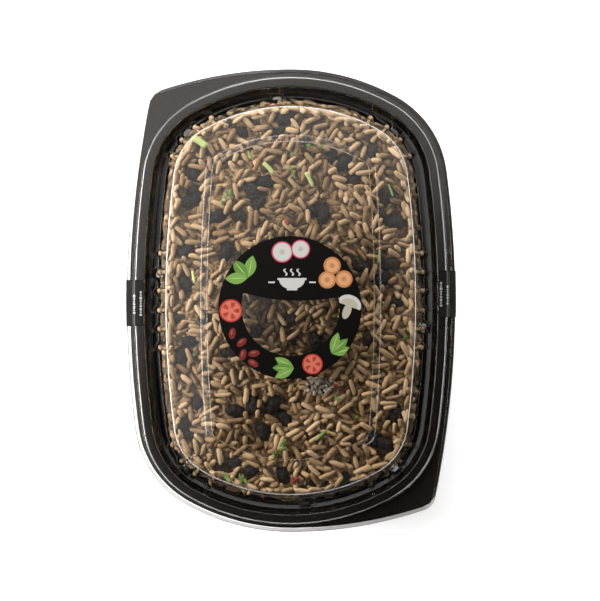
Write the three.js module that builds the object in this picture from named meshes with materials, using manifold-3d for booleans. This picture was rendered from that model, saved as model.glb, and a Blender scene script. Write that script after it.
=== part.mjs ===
// A ready meal of rice and black beans: a black thermoformed tray with two corner pull tabs,
// a clear domed lid snapped over its rim, the loose heap of food that fills both, a round film
// label on the lid and two tamper strips folded over the long sides of the rim.
// Millimetres, +Z up, +Y along the tray. The origin is on the table, under the middle.

import * as THREE from 'three';
import { mergeVertices } from 'three/addons/utils/BufferGeometryUtils.js';
import Module from 'manifold-3d';

const wasm = await Module();
wasm.setup();

// ---------------------------------------------------------------- driving dimensions

const HALF_WIDTH = 83.5; // outer edge of the rim, to the side
const HALF_LENGTH = 117.6; // outer edge of the rim, to the end
const SIDE_RADIUS = 499; // the long sides bow out a little
const END_RADIUS = 109.4;
const CORNER_RADIUS = 50.2;
const TAB_END_RADIUS = 212; // the two pull-tab corners have flatter ends and a tight corner
const TAB_CORNER_RADIUS = 8.5;

const RIM_Z = 34; // top of the tray's flat rim
const TRAY_WALL = 0.8;
const LID_WALL = 0.5;
const SNAP_GAP = 0.3; // between the lid and the tray where they don't rest on each other

const TRAY_TRIM_INSET = 1.0; // the tray is cut a little smaller than the lid, and off centre
const TRAY_TRIM_SHIFT = [0.7, 0.9];

const BEAD_OUTSIDE = 4.4; // insets from the rim's outer edge
const BEAD_INSIDE = 9.7;
const BEAD_HEIGHT = 2.4;
const BEAD_ROUND = 0.7;

const SEAT_INSET = 10.6; // foot of the bead's inner wall, where the lid's channel sits
const SEAT_WIDTH = 1.4;
const SEAT_Z = 29.4;
const TRAY_FOOT_INSET = 21.5;
const TRAY_WALL_FOOT_INSET = 16.6;
const FLOOR_PANEL_INSET = 32;
const FLOOR_PANEL_RISE = 1;

const DOME_FOOT_INSET = 15.3;
const DOME_TOP_INSET = 22;
const DOME_TOP_Z = 49;
const PANEL_FOOT_Z = 50.4;
const PANEL_Z = 53.2;
const PANEL_HALF_WIDTH = 43.9;
const PANEL_HALF_LENGTH = 81;
const PANEL_SIDE_RADIUS = 800;
const PANEL_END_RADIUS = 72;
const PANEL_CORNER_RADIUS = 6;
const PANEL_STEP_WIDTH = 2.6;

const SIDE_RIBS = 6;
const CORNER_RIBS = 4;
const RIB_PITCH = 9.6;
const RIB_HALF_WIDTH = 1.4;
const RIB_REACH = 2; // at the foot
const RIB_FADE = 0.5; // at the top
const LUG_RADIUS = 3;
const LUG_HEIGHT = 2.6;
const LUG_OUT = 0.4; // how far a lug's centre stands outside the dome's foot
const SIDE_LUG_OFFSET = 14;
const END_LUG_OFFSET = 7;
const CORNER_GROUP_SHIFT = 8.5; // the corner ribs and lug stand this far past the corner, towards the end

const LABEL_RADIUS = 35;
const LABEL_THICK = 0.3;
const LABEL_CENTRE = [-0.3, -3.5];

const SEAL_LENGTH = 23.5;
const SEAL_THICK = 0.3;
const SEAL_LEFT_Y = -1.3;
const SEAL_RIGHT_Y = 3.4;

const FOOD_GAP = 0.6; // between the food and the plastic round it
const FOOD_EDGE_Z = 44.6; // the heap's top beside the dome's wall
const FOOD_MIDDLE_Z = 47.4;
const RELIEF_PITCH = 4.1; // one grain's width and its gap
const RELIEF_DEPTH = 2.2;
const GRAIN_RUN = 3; // relief points that one grain lies along
const BEAN_COUNT = 33;
const BEAN_LENGTH = 10.5;
const BEAN_WIDTH = 7;
const BEAN_HEIGHT = 6;

const SIDE_STEPS = 3; // outline points in a quarter: long side, corner, end
const CORNER_STEPS = 5;
const END_STEPS = 4;

// ---------------------------------------------------------------- small helpers

// A seeded random number from 0 to 1, so that the heap is the same every time.
function seededRandom(seed) {
  let state = seed >>> 0;
  return () => {
    state = (state + 0x6d2b79f5) >>> 0;
    let t = Math.imul(state ^ (state >>> 15), 1 | state);
    t = (t + Math.imul(t ^ (t >>> 7), 61 | t)) ^ t;
    return ((t ^ (t >>> 14)) >>> 0) / 4294967296;
  };
}

function geometryFrom(points, triangles) {
  const geometry = new THREE.BufferGeometry();
  geometry.setAttribute('position', new THREE.Float32BufferAttribute(points.flat(), 3));
  geometry.setIndex(triangles.flat());
  return geometry;
}

const turned = ([a, b, c]) => [a, c, b];

function solidFrom(geometry) {
  const bare = geometry.clone();
  bare.deleteAttribute('normal');
  bare.deleteAttribute('uv');
  const merged = mergeVertices(bare, 1e-4);
  const vertProperties = new Float32Array(merged.attributes.position.array);
  const triVerts = new Uint32Array(merged.index.array);
  return new wasm.Manifold(new wasm.Mesh({ numProp: 3, vertProperties, triVerts }));
}

function geometryOf(solid) {
  const mesh = solid.getMesh();
  const geometry = new THREE.BufferGeometry();
  geometry.setAttribute('position', new THREE.BufferAttribute(mesh.vertProperties, 3));
  geometry.setIndex(new THREE.BufferAttribute(mesh.triVerts, 1));
  return geometry;
}

function namedMesh(name, geometry, color, roughness, extra = {}) {
  geometry.computeVertexNormals();
  const material = new THREE.MeshStandardMaterial({ color, roughness, metalness: 0, ...extra });
  const mesh = new THREE.Mesh(geometry, material);
  mesh.name = name;
  return mesh;
}

// ---------------------------------------------------------------- outlines

// The rim's plan, moved in by an inset. Every formed feature follows it.
function formedPlan(inset) {
  return {
    halfWidth: HALF_WIDTH - inset,
    halfLength: HALF_LENGTH - inset,
    sideRadius: SIDE_RADIUS - inset,
    endRadius: END_RADIUS - inset,
    cornerRadius: CORNER_RADIUS - inset,
  };
}

function tabPlan(inset) {
  return {
    ...formedPlan(inset),
    endRadius: TAB_END_RADIUS - inset,
    cornerRadius: TAB_CORNER_RADIUS - inset,
  };
}

function panelPlan(inset) {
  return {
    halfWidth: PANEL_HALF_WIDTH - inset,
    halfLength: PANEL_HALF_LENGTH - inset,
    sideRadius: PANEL_SIDE_RADIUS - inset,
    endRadius: PANEL_END_RADIUS - inset,
    cornerRadius: PANEL_CORNER_RADIUS - inset,
  };
}

// Where a plan's three arcs meet: the corner arc touches the side arc and the end arc.
function cornerOf(plan) {
  const side = new THREE.Vector2(plan.halfWidth - plan.sideRadius, 0);
  const end = new THREE.Vector2(0, plan.halfLength - plan.endRadius);
  const sideReach = plan.sideRadius - plan.cornerRadius;
  const endReach = plan.endRadius - plan.cornerRadius;
  const span = side.distanceTo(end);
  const along = (endReach ** 2 - sideReach ** 2 + span ** 2) / (2 * span);
  const across = Math.sqrt(endReach ** 2 - along ** 2);
  const toSide = side.clone().sub(end).normalize();
  const centre = new THREE.Vector2(
    end.x + toSide.x * along + toSide.y * across,
    end.y + toSide.y * along - toSide.x * across,
  );
  if (centre.x + centre.y < end.x + end.y) {
    centre.x = end.x + toSide.x * along - toSide.y * across;
    centre.y = end.y + toSide.y * along + toSide.x * across;
  }
  const sideAngle = Math.atan2(centre.y - side.y, centre.x - side.x);
  const endAngle = Math.atan2(centre.y - end.y, centre.x - end.x);
  return { side, end, centre, sideAngle, endAngle };
}

function onArc(centre, radius, angle) {
  return [centre.x + radius * Math.cos(angle), centre.y + radius * Math.sin(angle)];
}

// One quarter of a plan, from the middle of the long side to just before the middle of the end.
function quarter(plan) {
  const { side, end, centre, sideAngle, endAngle } = cornerOf(plan);
  const points = [];
  for (let i = 0; i < SIDE_STEPS; i += 1) {
    points.push(onArc(side, plan.sideRadius, (sideAngle * i) / SIDE_STEPS));
  }
  for (let i = 0; i < CORNER_STEPS; i += 1) {
    const angle = sideAngle + ((endAngle - sideAngle) * i) / CORNER_STEPS;
    points.push(onArc(centre, plan.cornerRadius, angle));
  }
  for (let i = 0; i <= END_STEPS; i += 1) {
    const angle = endAngle + ((Math.PI / 2 - endAngle) * i) / END_STEPS;
    points.push(onArc(end, plan.endRadius, angle));
  }
  return points;
}

// A whole outline, anticlockwise. The tab plan serves the upper left and lower right quarters.
function outline(plan, tab = plan, shift = [0, 0]) {
  const round = quarter(plan);
  const tabbed = quarter(tab);
  const quarters = [
    round,
    tabbed.map(([x, y]) => [-x, y]).reverse(),
    round.map(([x, y]) => [-x, -y]),
    tabbed.map(([x, y]) => [x, -y]).reverse(),
  ];
  const points = quarters.flatMap((part) => part.slice(0, -1));
  return points.map(([x, y]) => [x + shift[0], y + shift[1]]);
}

const ring = (inset, z) => ({ points: outline(formedPlan(inset)), z });
const panelRing = (inset, z) => ({ points: outline(panelPlan(inset)), z });
const tabRing = (inset, shift, z) => {
  return { points: outline(formedPlan(inset), tabPlan(inset), shift), z };
};

// ---------------------------------------------------------------- closed shells from rings

// Joins two rings by a band of triangles that always takes the shorter diagonal.
function band(a, b) {
  const size = (p, q) => Math.hypot(p[0] - q[0], p[1] - q[1]);
  const triangles = [];
  let i = 0;
  let j = 0;
  const countA = a.points.length;
  const countB = b.points.length;
  while (i < countA || j < countB) {
    const [here, there, nextHere, nextThere] = [i % countA, j % countB, (i + 1) % countA, (j + 1) % countB];
    const viaA = size(a.points[nextHere], b.points[there]);
    const viaB = size(a.points[here], b.points[nextThere]);
    if (j >= countB || (i < countA && viaA <= viaB)) {
      triangles.push([a.first + here, a.first + nextHere, b.first + there]);
      i += 1;
    } else {
      triangles.push([a.first + here, b.first + nextThere, b.first + there]);
      j += 1;
    }
  }
  return triangles;
}

// A closed body from rings that run from the middle of its underside, out, and back to the middle
// of its top.
function shell(rings) {
  const points = [];
  for (const r of rings) {
    r.first = points.length;
    points.push(...r.points.map(([x, y]) => [x, y, r.z]));
  }
  const triangles = [];
  for (let k = 0; k + 1 < rings.length; k += 1) {
    triangles.push(...band(rings[k], rings[k + 1]));
  }
  const cap = (r, up) => {
    const middle = points.length;
    points.push([0, 0, r.z]);
    r.points.forEach((_, i) => {
      const next = r.first + ((i + 1) % r.points.length);
      triangles.push(up ? [middle, r.first + i, next] : [middle, next, r.first + i]);
    });
  };
  cap(rings[0], false);
  cap(rings.at(-1), true);
  return geometryFrom(points, triangles);
}

// A profile of [inset, z] pairs that runs inwards, raised square to itself by a distance.
function raised(profile, distance) {
  const last = profile.length - 1;
  const normal = (p, q) => {
    const length = Math.hypot(q[0] - p[0], q[1] - p[1]);
    return [(p[1] - q[1]) / length, (q[0] - p[0]) / length];
  };
  return profile.map((point, i) => {
    const before = normal(profile[Math.max(i - 1, 0)], profile[Math.max(i, 1)]);
    const after = normal(profile[Math.min(i, last - 1)], profile[Math.min(i + 1, last)]);
    const share = distance / (1 + before[0] * after[0] + before[1] * after[1]);
    return [point[0] + (before[0] + after[0]) * share, point[1] + (before[1] + after[1]) * share];
  });
}

const beadSlope = 0.5; // how far a bead's wall leans in over its height

// The top of the rim's bead, from the flat rim to the foot of its inner wall.
function beadProfile(base, top) {
  return [
    [BEAD_OUTSIDE, base],
    [BEAD_OUTSIDE + beadSlope, top - BEAD_ROUND],
    [BEAD_OUTSIDE + beadSlope + BEAD_ROUND, top],
    [BEAD_INSIDE - beadSlope - BEAD_ROUND, top],
    [BEAD_INSIDE - beadSlope, top - BEAD_ROUND],
  ];
}

// ---------------------------------------------------------------- tray

function trayInside() {
  return [
    ...beadProfile(RIM_Z, RIM_Z + BEAD_HEIGHT),
    [SEAT_INSET, SEAT_Z],
    [SEAT_INSET + SEAT_WIDTH, SEAT_Z],
    [TRAY_WALL_FOOT_INSET, 6],
    [TRAY_WALL_FOOT_INSET + 1.6, 2.4],
    [TRAY_FOOT_INSET, TRAY_WALL],
    [FLOOR_PANEL_INSET, TRAY_WALL],
    [FLOOR_PANEL_INSET + 2, TRAY_WALL + FLOOR_PANEL_RISE],
  ];
}

function tray() {
  const inside = trayInside();
  const outside = raised(inside, -TRAY_WALL);
  outside[0][1] = RIM_Z - TRAY_WALL;
  const rings = [
    ...outside.toReversed().map(([inset, z]) => ring(inset, z)),
    tabRing(TRAY_TRIM_INSET, TRAY_TRIM_SHIFT, RIM_Z - TRAY_WALL),
    tabRing(TRAY_TRIM_INSET, TRAY_TRIM_SHIFT, RIM_Z),
    ...inside.map(([inset, z]) => ring(inset, z)),
  ];
  return namedMesh('tray', shell(rings), 0x1c1a19, 0.35);
}

// ---------------------------------------------------------------- lid

// The lid's underside, outside its panel.
function lidUnderside() {
  const bead = raised(beadProfile(RIM_Z, RIM_Z + BEAD_HEIGHT), SNAP_GAP);
  bead[0][1] = RIM_Z;
  const floor = SEAT_Z + SNAP_GAP;
  return [
    ...bead,
    [SEAT_INSET + SNAP_GAP, floor],
    [DOME_FOOT_INSET, floor],
    [DOME_TOP_INSET - 0.8, DOME_TOP_Z - LID_WALL - 1.4],
    [DOME_TOP_INSET + 1.2, DOME_TOP_Z - LID_WALL],
  ];
}

const lidPanelUnderside = [
  [0, PANEL_FOOT_Z - LID_WALL],
  [PANEL_STEP_WIDTH, PANEL_Z - LID_WALL],
];

function lidShell() {
  const under = lidUnderside();
  const over = raised(under, LID_WALL);
  over[0][1] = RIM_Z + LID_WALL;
  const rings = [
    ...lidPanelUnderside.toReversed().map(([inset, z]) => panelRing(inset, z)),
    ...under.toReversed().map(([inset, z]) => ring(inset, z)),
    tabRing(0, [0, 0], RIM_Z),
    tabRing(0, [0, 0], RIM_Z + LID_WALL),
    ...over.map(([inset, z]) => ring(inset, z)),
    ...lidPanelUnderside.map(([inset, z]) => panelRing(inset, z + LID_WALL)),
  ];
  return solidFrom(shell(rings));
}

// The space under the dome down to the channel's floor, moved in by a gap.
function underDome(gap) {
  const profile = lidUnderside().slice(-3);
  const rings = [
    ring(DOME_FOOT_INSET + gap, SEAT_Z - 5),
    ...profile.map(([inset, z]) => ring(inset + gap, z - gap)),
    ...lidPanelUnderside.map(([inset, z]) => panelRing(inset + gap, z - gap)),
  ];
  return solidFrom(shell(rings));
}

// Places on the dome's foot, each with its outward direction.
function sidePlace(plan, y, sign) {
  const centre = plan.halfWidth - plan.sideRadius;
  const angle = Math.asin(y / plan.sideRadius);
  return {
    at: [sign * (centre + plan.sideRadius * Math.cos(angle)), y],
    out: [sign * Math.cos(angle), Math.sin(angle)],
  };
}

function endPlace(plan, x, sign) {
  const centre = plan.halfLength - plan.endRadius;
  const angle = Math.acos(x / plan.endRadius);
  return {
    at: [x, sign * (centre + plan.endRadius * Math.sin(angle))],
    out: [Math.cos(angle), sign * Math.sin(angle)],
  };
}

// A place an arc length from the middle of the corner towards the end. Past the corner's arc it is
// on the end's.
function cornerPlace(plan, arcLength, signX, signY) {
  const { end, centre, sideAngle, endAngle } = cornerOf(plan);
  const cornerAngle = (sideAngle + endAngle) / 2 + arcLength / plan.cornerRadius;
  const past = (cornerAngle - endAngle) * plan.cornerRadius;
  const angle = past > 0 ? endAngle + past / plan.endRadius : cornerAngle;
  const [x, y] = past > 0 ? onArc(end, plan.endRadius, angle) : onArc(centre, plan.cornerRadius, angle);
  return {
    at: [signX * x, signY * y],
    out: [signX * Math.cos(angle), signY * Math.sin(angle)],
  };
}

const CORNERS = [[1, 1], [-1, 1], [-1, -1], [1, -1]];

// Steps of one pitch, centred on a place.
function spread(count, middle = 0) {
  return Array.from({ length: count }, (_, i) => middle + (i - (count - 1) / 2) * RIB_PITCH);
}

function ribPlaces(plan) {
  const side = (sign) => spread(SIDE_RIBS).map((y) => sidePlace(plan, y, sign));
  const steps = spread(CORNER_RIBS, CORNER_GROUP_SHIFT);
  const corner = ([signX, signY]) => steps.map((s) => cornerPlace(plan, s, signX, signY));
  return [...side(1), ...side(-1), ...CORNERS.flatMap(corner)];
}

// A half-round flute that leans with the dome's wall and fades towards its top.
function rib({ at, out }) {
  const [foot, top] = lidUnderside().slice(-3, -1);
  const lean = top[0] - foot[0];
  const section = (z, back, reach) => [-1, -0.7, 0, 0.7, 1].map((u) => {
    const side = u * RIB_HALF_WIDTH;
    const forward = back + Math.sqrt(1 - u * u) * (reach - back);
    return [at[0] - out[1] * side + out[0] * forward, at[1] + out[0] * side + out[1] * forward, z];
  });
  const low = section(foot[1] + LID_WALL / 2, LID_WALL / 2, LID_WALL + RIB_REACH);
  const high = section(top[1], LID_WALL / 2 - lean, LID_WALL - lean + RIB_FADE);
  const count = low.length;
  const triangles = [];
  for (let i = 0; i < count; i += 1) {
    const next = (i + 1) % count;
    triangles.push([i, next, next + count], [i, next + count, i + count]);
  }
  for (let i = 1; i + 1 < count; i += 1) {
    triangles.push([0, i + 1, i], [count, count + i, count + i + 1]);
  }
  return solidFrom(geometryFrom([...low, ...high], triangles));
}

function lugPlaces(plan) {
  return [
    sidePlace(plan, SIDE_LUG_OFFSET, -1),
    sidePlace(plan, -SIDE_LUG_OFFSET, 1),
    endPlace(plan, -END_LUG_OFFSET, 1),
    endPlace(plan, END_LUG_OFFSET, -1),
    ...CORNERS.map(([sx, sy]) => cornerPlace(plan, CORNER_GROUP_SHIFT, sx, sy)),
  ];
}

function lug({ at, out }) {
  const base = SEAT_Z + SNAP_GAP + LID_WALL / 2;
  const profile = [
    [0, 0],
    [LUG_RADIUS, 0],
    [LUG_RADIUS * 0.9, LUG_HEIGHT],
    [0, LUG_HEIGHT + 0.4],
  ].map(([r, y]) => new THREE.Vector2(r, y));
  const geometry = new THREE.LatheGeometry(profile, 10);
  geometry.rotateX(Math.PI / 2);
  geometry.translate(at[0] + out[0] * LUG_OUT, at[1] + out[1] * LUG_OUT, base);
  return solidFrom(geometry);
}

function lid() {
  const plan = formedPlan(DOME_FOOT_INSET);
  const hollow = underDome(0);
  const details = [...ribPlaces(plan).map(rib), ...lugPlaces(plan).map(lug)];
  const bumps = details.reduce((sum, one) => sum.add(one)).subtract(hollow);
  const solid = lidShell().add(bumps);
  return namedMesh('lid', geometryOf(solid), 0xf2f4f4, 0.05, { transparent: true, opacity: 0.25 });
}

// ---------------------------------------------------------------- food

// The part of the heap below the lid's channel: it follows the tray's inner wall.
function trayFill() {
  const rings = [
    ring(TRAY_FOOT_INSET + FOOD_GAP, TRAY_WALL + FLOOR_PANEL_RISE),
    ring(TRAY_WALL_FOOT_INSET + 1.6 + FOOD_GAP, 3.2),
    ring(TRAY_WALL_FOOT_INSET + FOOD_GAP, 6.4),
    ring(SEAT_INSET + SEAT_WIDTH + FOOD_GAP + 0.4, SEAT_Z - 2.4),
    ring(DOME_FOOT_INSET + FOOD_GAP, SEAT_Z - FOOD_GAP),
  ];
  return solidFrom(shell(rings));
}

function moundHeight(x, y) {
  const away = Math.hypot(x / (HALF_WIDTH - DOME_TOP_INSET), y / (HALF_LENGTH - DOME_TOP_INSET));
  return FOOD_MIDDLE_Z + (FOOD_EDGE_Z - FOOD_MIDDLE_Z) * Math.min(1, away) ** 3;
}

// A block whose top is grain-sized relief: runs of neighbouring points share one height, as the
// grains on top of the heap do.
function reliefBlock(random) {
  const columns = Math.ceil((2 * (HALF_WIDTH - DOME_FOOT_INSET)) / RELIEF_PITCH) + 1;
  const rows = Math.ceil((2 * (HALF_LENGTH - DOME_FOOT_INSET)) / RELIEF_PITCH) + 1;
  const startX = (-(columns - 1) / 2) * RELIEF_PITCH;
  const startY = (-(rows - 1) / 2) * RELIEF_PITCH;
  const lift = Array.from({ length: rows * columns }, () => -RELIEF_DEPTH * random());
  const directions = [[1, 0], [0, 1], [1, 1], [1, -1]];
  for (let k = 0; k < (rows * columns) / GRAIN_RUN; k += 1) {
    const column = Math.floor(random() * columns);
    const row = Math.floor(random() * rows);
    const [stepX, stepY] = directions[Math.floor(random() * directions.length)];
    const height = RELIEF_DEPTH * (random() - 0.5);
    for (let s = 0; s < GRAIN_RUN; s += 1) {
      const c = Math.min(columns - 1, column + s * stepX);
      const r = Math.min(rows - 1, Math.max(0, row + s * stepY));
      lift[r * columns + c] = height;
    }
  }
  const points = [];
  for (let r = 0; r < rows; r += 1) {
    for (let c = 0; c < columns; c += 1) {
      const x = startX + c * RELIEF_PITCH;
      const y = startY + r * RELIEF_PITCH;
      points.push([x, y, moundHeight(x, y) + lift[r * columns + c]]);
    }
  }
  const triangles = [];
  const at = (r, c) => r * columns + c;
  for (let r = 0; r + 1 < rows; r += 1) {
    for (let c = 0; c + 1 < columns; c += 1) {
      const flip = (r + c) % 2 === 0;
      const [a, b, d, e] = [at(r, c), at(r, c + 1), at(r + 1, c), at(r + 1, c + 1)];
      triangles.push(...(flip ? [[a, b, e], [a, e, d]] : [[a, b, d], [b, e, d]]));
    }
  }
  const rim = [
    ...Array.from({ length: columns - 1 }, (_, c) => at(0, c)),
    ...Array.from({ length: rows - 1 }, (_, r) => at(r, columns - 1)),
    ...Array.from({ length: columns - 1 }, (_, c) => at(rows - 1, columns - 1 - c)),
    ...Array.from({ length: rows - 1 }, (_, r) => at(rows - 1 - r, 0)),
  ];
  const low = points.length;
  rim.forEach((index) => points.push([points[index][0], points[index][1], SEAT_Z - 4]));
  const middle = points.length;
  points.push([0, 0, SEAT_Z - 4]);
  rim.forEach((index, i) => {
    const next = (i + 1) % rim.length;
    triangles.push([index, low + i, low + next], [index, low + next, rim[next]]);
    triangles.push([middle, low + next, low + i]);
  });
  return solidFrom(geometryFrom(points, triangles));
}

// A kidney bean lying on the heap, sunk by a random share of its height.
function bean(x, y, random) {
  const geometry = new THREE.IcosahedronGeometry(0.5, 1);
  const size = 0.88 + 0.24 * random();
  geometry.scale(BEAN_LENGTH * size, BEAN_WIDTH * size, BEAN_HEIGHT * size);
  geometry.rotateX((random() - 0.5) * 0.7);
  geometry.rotateZ(random() * Math.PI);
  geometry.translate(x, y, moundHeight(x, y) - 0.4 - 1.2 * random());
  return solidFrom(geometry);
}

// Beans spread over the heap on a jittered golden-angle spiral, as stirred food is.
function beans(random) {
  const goldenAngle = Math.PI * (3 - Math.sqrt(5));
  const solids = [];
  for (let i = 0; i < BEAN_COUNT; i += 1) {
    const share = Math.sqrt((i + 0.5 + (random() - 0.5) * 0.6) / BEAN_COUNT);
    const angle = i * goldenAngle + (random() - 0.5) * 0.5;
    const x = share * Math.cos(angle) * (HALF_WIDTH - DOME_TOP_INSET - 6);
    const y = share * Math.sin(angle) * (HALF_LENGTH - DOME_TOP_INSET - 6);
    solids.push(bean(x, y, random));
  }
  return solids.reduce((sum, one) => sum.add(one));
}

function food() {
  const random = seededRandom(11);
  const mound = reliefBlock(random).add(beans(random)).intersect(underDome(FOOD_GAP));
  const heap = trayFill().add(mound);
  return namedMesh('rice_and_beans', geometryOf(heap), 0x9c8468, 0.6);
}

// ---------------------------------------------------------------- label and tamper strips

function label() {
  const geometry = new THREE.CylinderGeometry(LABEL_RADIUS, LABEL_RADIUS, LABEL_THICK, 40);
  geometry.rotateX(Math.PI / 2);
  const mesh = namedMesh('label', geometry, 0x14110f, 0.4);
  mesh.position.set(LABEL_CENTRE[0], LABEL_CENTRE[1], PANEL_Z + LABEL_THICK / 2);
  return mesh;
}

// A strip folded over the rim: from the bead's top, round the outer edge, to the rim's underside.
function seal(name, middleY, sign) {
  const lidTop = raised(raised(beadProfile(RIM_Z, RIM_Z + BEAD_HEIGHT), SNAP_GAP), LID_WALL);
  const under = RIM_Z - TRAY_WALL - SNAP_GAP;
  const inside = [
    [BEAD_OUTSIDE - SNAP_GAP, under],
    [-SNAP_GAP, under],
    [-SNAP_GAP, RIM_Z + LID_WALL + SNAP_GAP],
    [lidTop[0][0] - SNAP_GAP, RIM_Z + LID_WALL + SNAP_GAP],
    [lidTop[1][0] - SNAP_GAP, lidTop[1][1]],
    lidTop[2],
    lidTop[3],
  ];
  const outside = raised(inside, SEAL_THICK);
  const section = [...inside, ...outside.toReversed()];
  const count = section.length;
  const steps = 3;
  const points = [];
  const triangles = [];
  for (let k = 0; k <= steps; k += 1) {
    const y = middleY + SEAL_LENGTH * (k / steps - 0.5);
    section.forEach(([inset, z]) => points.push([sidePlace(formedPlan(inset), y, sign).at[0], y, z]));
  }
  for (let k = 0; k < steps; k += 1) {
    for (let i = 0; i < count; i += 1) {
      const a = k * count + i;
      const b = k * count + ((i + 1) % count);
      triangles.push([a, b + count, b], [a, a + count, b + count]);
    }
  }
  const last = steps * count;
  for (let i = 0; i + 1 < inside.length; i += 1) {
    const [a, b, c, d] = [i, i + 1, count - 2 - i, count - 1 - i];
    triangles.push([a, b, c], [a, c, d], [last + a, last + c, last + b], [last + a, last + d, last + c]);
  }
  const facing = sign < 0 ? triangles : triangles.map(turned);
  return namedMesh(name, geometryFrom(points, facing), 0x100e0d, 0.45);
}

// ---------------------------------------------------------------- the whole pack

const pack = new THREE.Group();
pack.add(
  tray(),
  food(),
  lid(),
  label(),
  seal('seal_left', SEAL_LEFT_Y, -1),
  seal('seal_right', SEAL_RIGHT_Y, 1),
);

export default pack;
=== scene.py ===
import math

import bmesh
import bpy
import numpy as np
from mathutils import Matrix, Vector


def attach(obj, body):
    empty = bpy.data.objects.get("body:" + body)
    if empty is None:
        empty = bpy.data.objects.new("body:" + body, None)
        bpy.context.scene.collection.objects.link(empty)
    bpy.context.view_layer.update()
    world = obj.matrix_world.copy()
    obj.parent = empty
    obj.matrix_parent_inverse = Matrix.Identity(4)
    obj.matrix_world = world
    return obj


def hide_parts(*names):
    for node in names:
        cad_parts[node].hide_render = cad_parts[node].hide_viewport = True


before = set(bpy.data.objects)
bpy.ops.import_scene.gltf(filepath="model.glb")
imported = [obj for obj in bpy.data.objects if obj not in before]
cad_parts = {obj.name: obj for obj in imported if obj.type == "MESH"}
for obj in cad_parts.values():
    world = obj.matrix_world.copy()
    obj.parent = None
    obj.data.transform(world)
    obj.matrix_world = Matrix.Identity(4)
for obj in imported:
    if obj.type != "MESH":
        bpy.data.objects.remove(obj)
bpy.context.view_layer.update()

MM = 0.001
BODY = "root"

# Plans are (half width, half length, side radius, end radius, corner radius), in millimetres.
RIM_PLAN = (83.5, 117.6, 499.0, 109.4, 50.2)
TAB_PLAN = (83.5, 117.6, 499.0, 212.0, 8.5)
PANEL_PLAN = (44.2, 81.2, 800.0, 72.0, 7.0)

# Heights, and insets from the rim, in millimetres.
RIM_Z = 34.0
TRAY_WALL = 0.8
LID_WALL = 0.5
BEAD_TOP = 36.4
SEAT_Z = 29.4
CHANNEL_Z = 30.2
CHANNEL_FALL = 0.55
DOME_FOOT_SIDE = 15.9
DOME_FOOT_END = 14.4
FOOT_FILLET = 1.0
DOME_TOP = 21.2
DOME_TOP_Z = 49.0
PANEL_FOOT_Z = 50.6
PANEL_STEP = 3.3
PANEL_Z = 53.2

RIB_PITCH = 9.6
RIB_HALF_WIDTH = 1.5
RIB_REACH = 2.0
RIB_FADE = 0.5
LUG_RADIUS = 2.9
LUG_OUT = 1.2
LUG_HEIGHT = 2.7
SIDE_LUG = 14.0
END_LUG = 7.0
CORNER_GROUP_SHIFT = 8.5

LABEL_RADIUS = 35.0
LABEL_CENTRE = (-0.3, -3.5)
LABEL_Z = PANEL_Z + 0.03
WINDOW_RADIUS = 24.0
WINDOW_CENTRE = (0.3, 0.4)
WINDOW_TOP_CENTRE = (4.0, 98.4)
WINDOW_TOP_RADIUS = 95.0

HEAP_MIDDLE_Z = 47.4
HEAP_EDGE_Z = 44.6
GAP_DEPTH = 3.6
# Painted light: grains against the dome's wall are coloured lighter, and more so towards the top end, for the light
# that reaches them through the wall.
WALL_GRAIN_PAINTED_LIGHT = 1.0
# Painted shade: grains lying deep under the heap's top are coloured darker.
DEEP_GRAIN_SHADE = 0.45


# ------------------------------------------------------------------ finishes


class Wire:
    """A shader socket that takes part in Python sums."""

    def __init__(self, nodes, socket):
        self.nodes = nodes
        self.socket = socket

    def _math(self, operation, *values):
        return self.nodes.node("ShaderNodeMath", {"operation": operation}, *values)

    def __add__(self, other):
        return self._math("ADD", self, other)

    def __sub__(self, other):
        return self._math("SUBTRACT", self, other)

    def __mul__(self, other):
        return self._math("MULTIPLY", self, other)

    def __truediv__(self, other):
        return self._math("DIVIDE", self, other)

    def __radd__(self, other):
        return self._math("ADD", other, self)

    def __rsub__(self, other):
        return self._math("SUBTRACT", other, self)

    def __rmul__(self, other):
        return self._math("MULTIPLY", other, self)

    def __rtruediv__(self, other):
        return self._math("DIVIDE", other, self)

    def below(self, limit, softness=0.0):
        """1 where this is under the limit and 0 over it, with a soft edge where one is given."""
        if not softness:
            return self._math("LESS_THAN", self, limit)
        return self.nodes.clamped((limit - self) / softness + 0.5)

    def least(self, other):
        return self._math("MINIMUM", self, other)

    def most(self, other):
        return self._math("MAXIMUM", self, other)

    def size(self):
        return self._math("ABSOLUTE", self)

    def root(self):
        return self._math("SQRT", self)

    def wave(self):
        return self._math("COSINE", self)

    def turn_from(self, across):
        return self._math("ARCTAN2", self, across)


class Nodes:
    """A node tree and the one way to add a node to it."""

    def __init__(self, tree):
        self.tree = tree

    def feed(self, node, socket, value):
        target = node.inputs[socket]
        if isinstance(value, Wire):
            self.tree.links.new(value.socket, target)
        elif hasattr(target.default_value, "__len__") and len(target.default_value) == 4 and len(value) == 3:
            target.default_value = (*value, 1.0)
        else:
            target.default_value = value

    def node(self, kind, settings, *values, out=0, **named):
        made = self.tree.nodes.new(kind)
        for key, value in settings.items():
            if key == "stops":
                ramp = made.color_ramp
                while len(ramp.elements) < len(value):
                    ramp.elements.new(0.5)
                for element, (place, colour) in zip(ramp.elements, value):
                    element.position = place
                    element.color = (*colour, 1.0)
            else:
                setattr(made, key, value)
        for index, value in enumerate(values):
            self.feed(made, index, value)
        for socket, value in named.items():
            self.feed(made, socket.replace("_", " "), value)
        return Wire(self, made.outputs[out])

    def split(self, vector):
        across = self.node("ShaderNodeSeparateXYZ", {}, vector)
        outputs = across.socket.node.outputs
        return tuple(Wire(self, output) for output in outputs)

    def clamped(self, value):
        return self.node("ShaderNodeClamp", {}, value)

    def ramp(self, value, *stops):
        return self.node("ShaderNodeValToRGB", {"stops": stops}, value)

    def grey_ramp(self, value, *stops):
        return self.ramp(value, *[(place, (level, level, level)) for place, level in stops])


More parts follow.
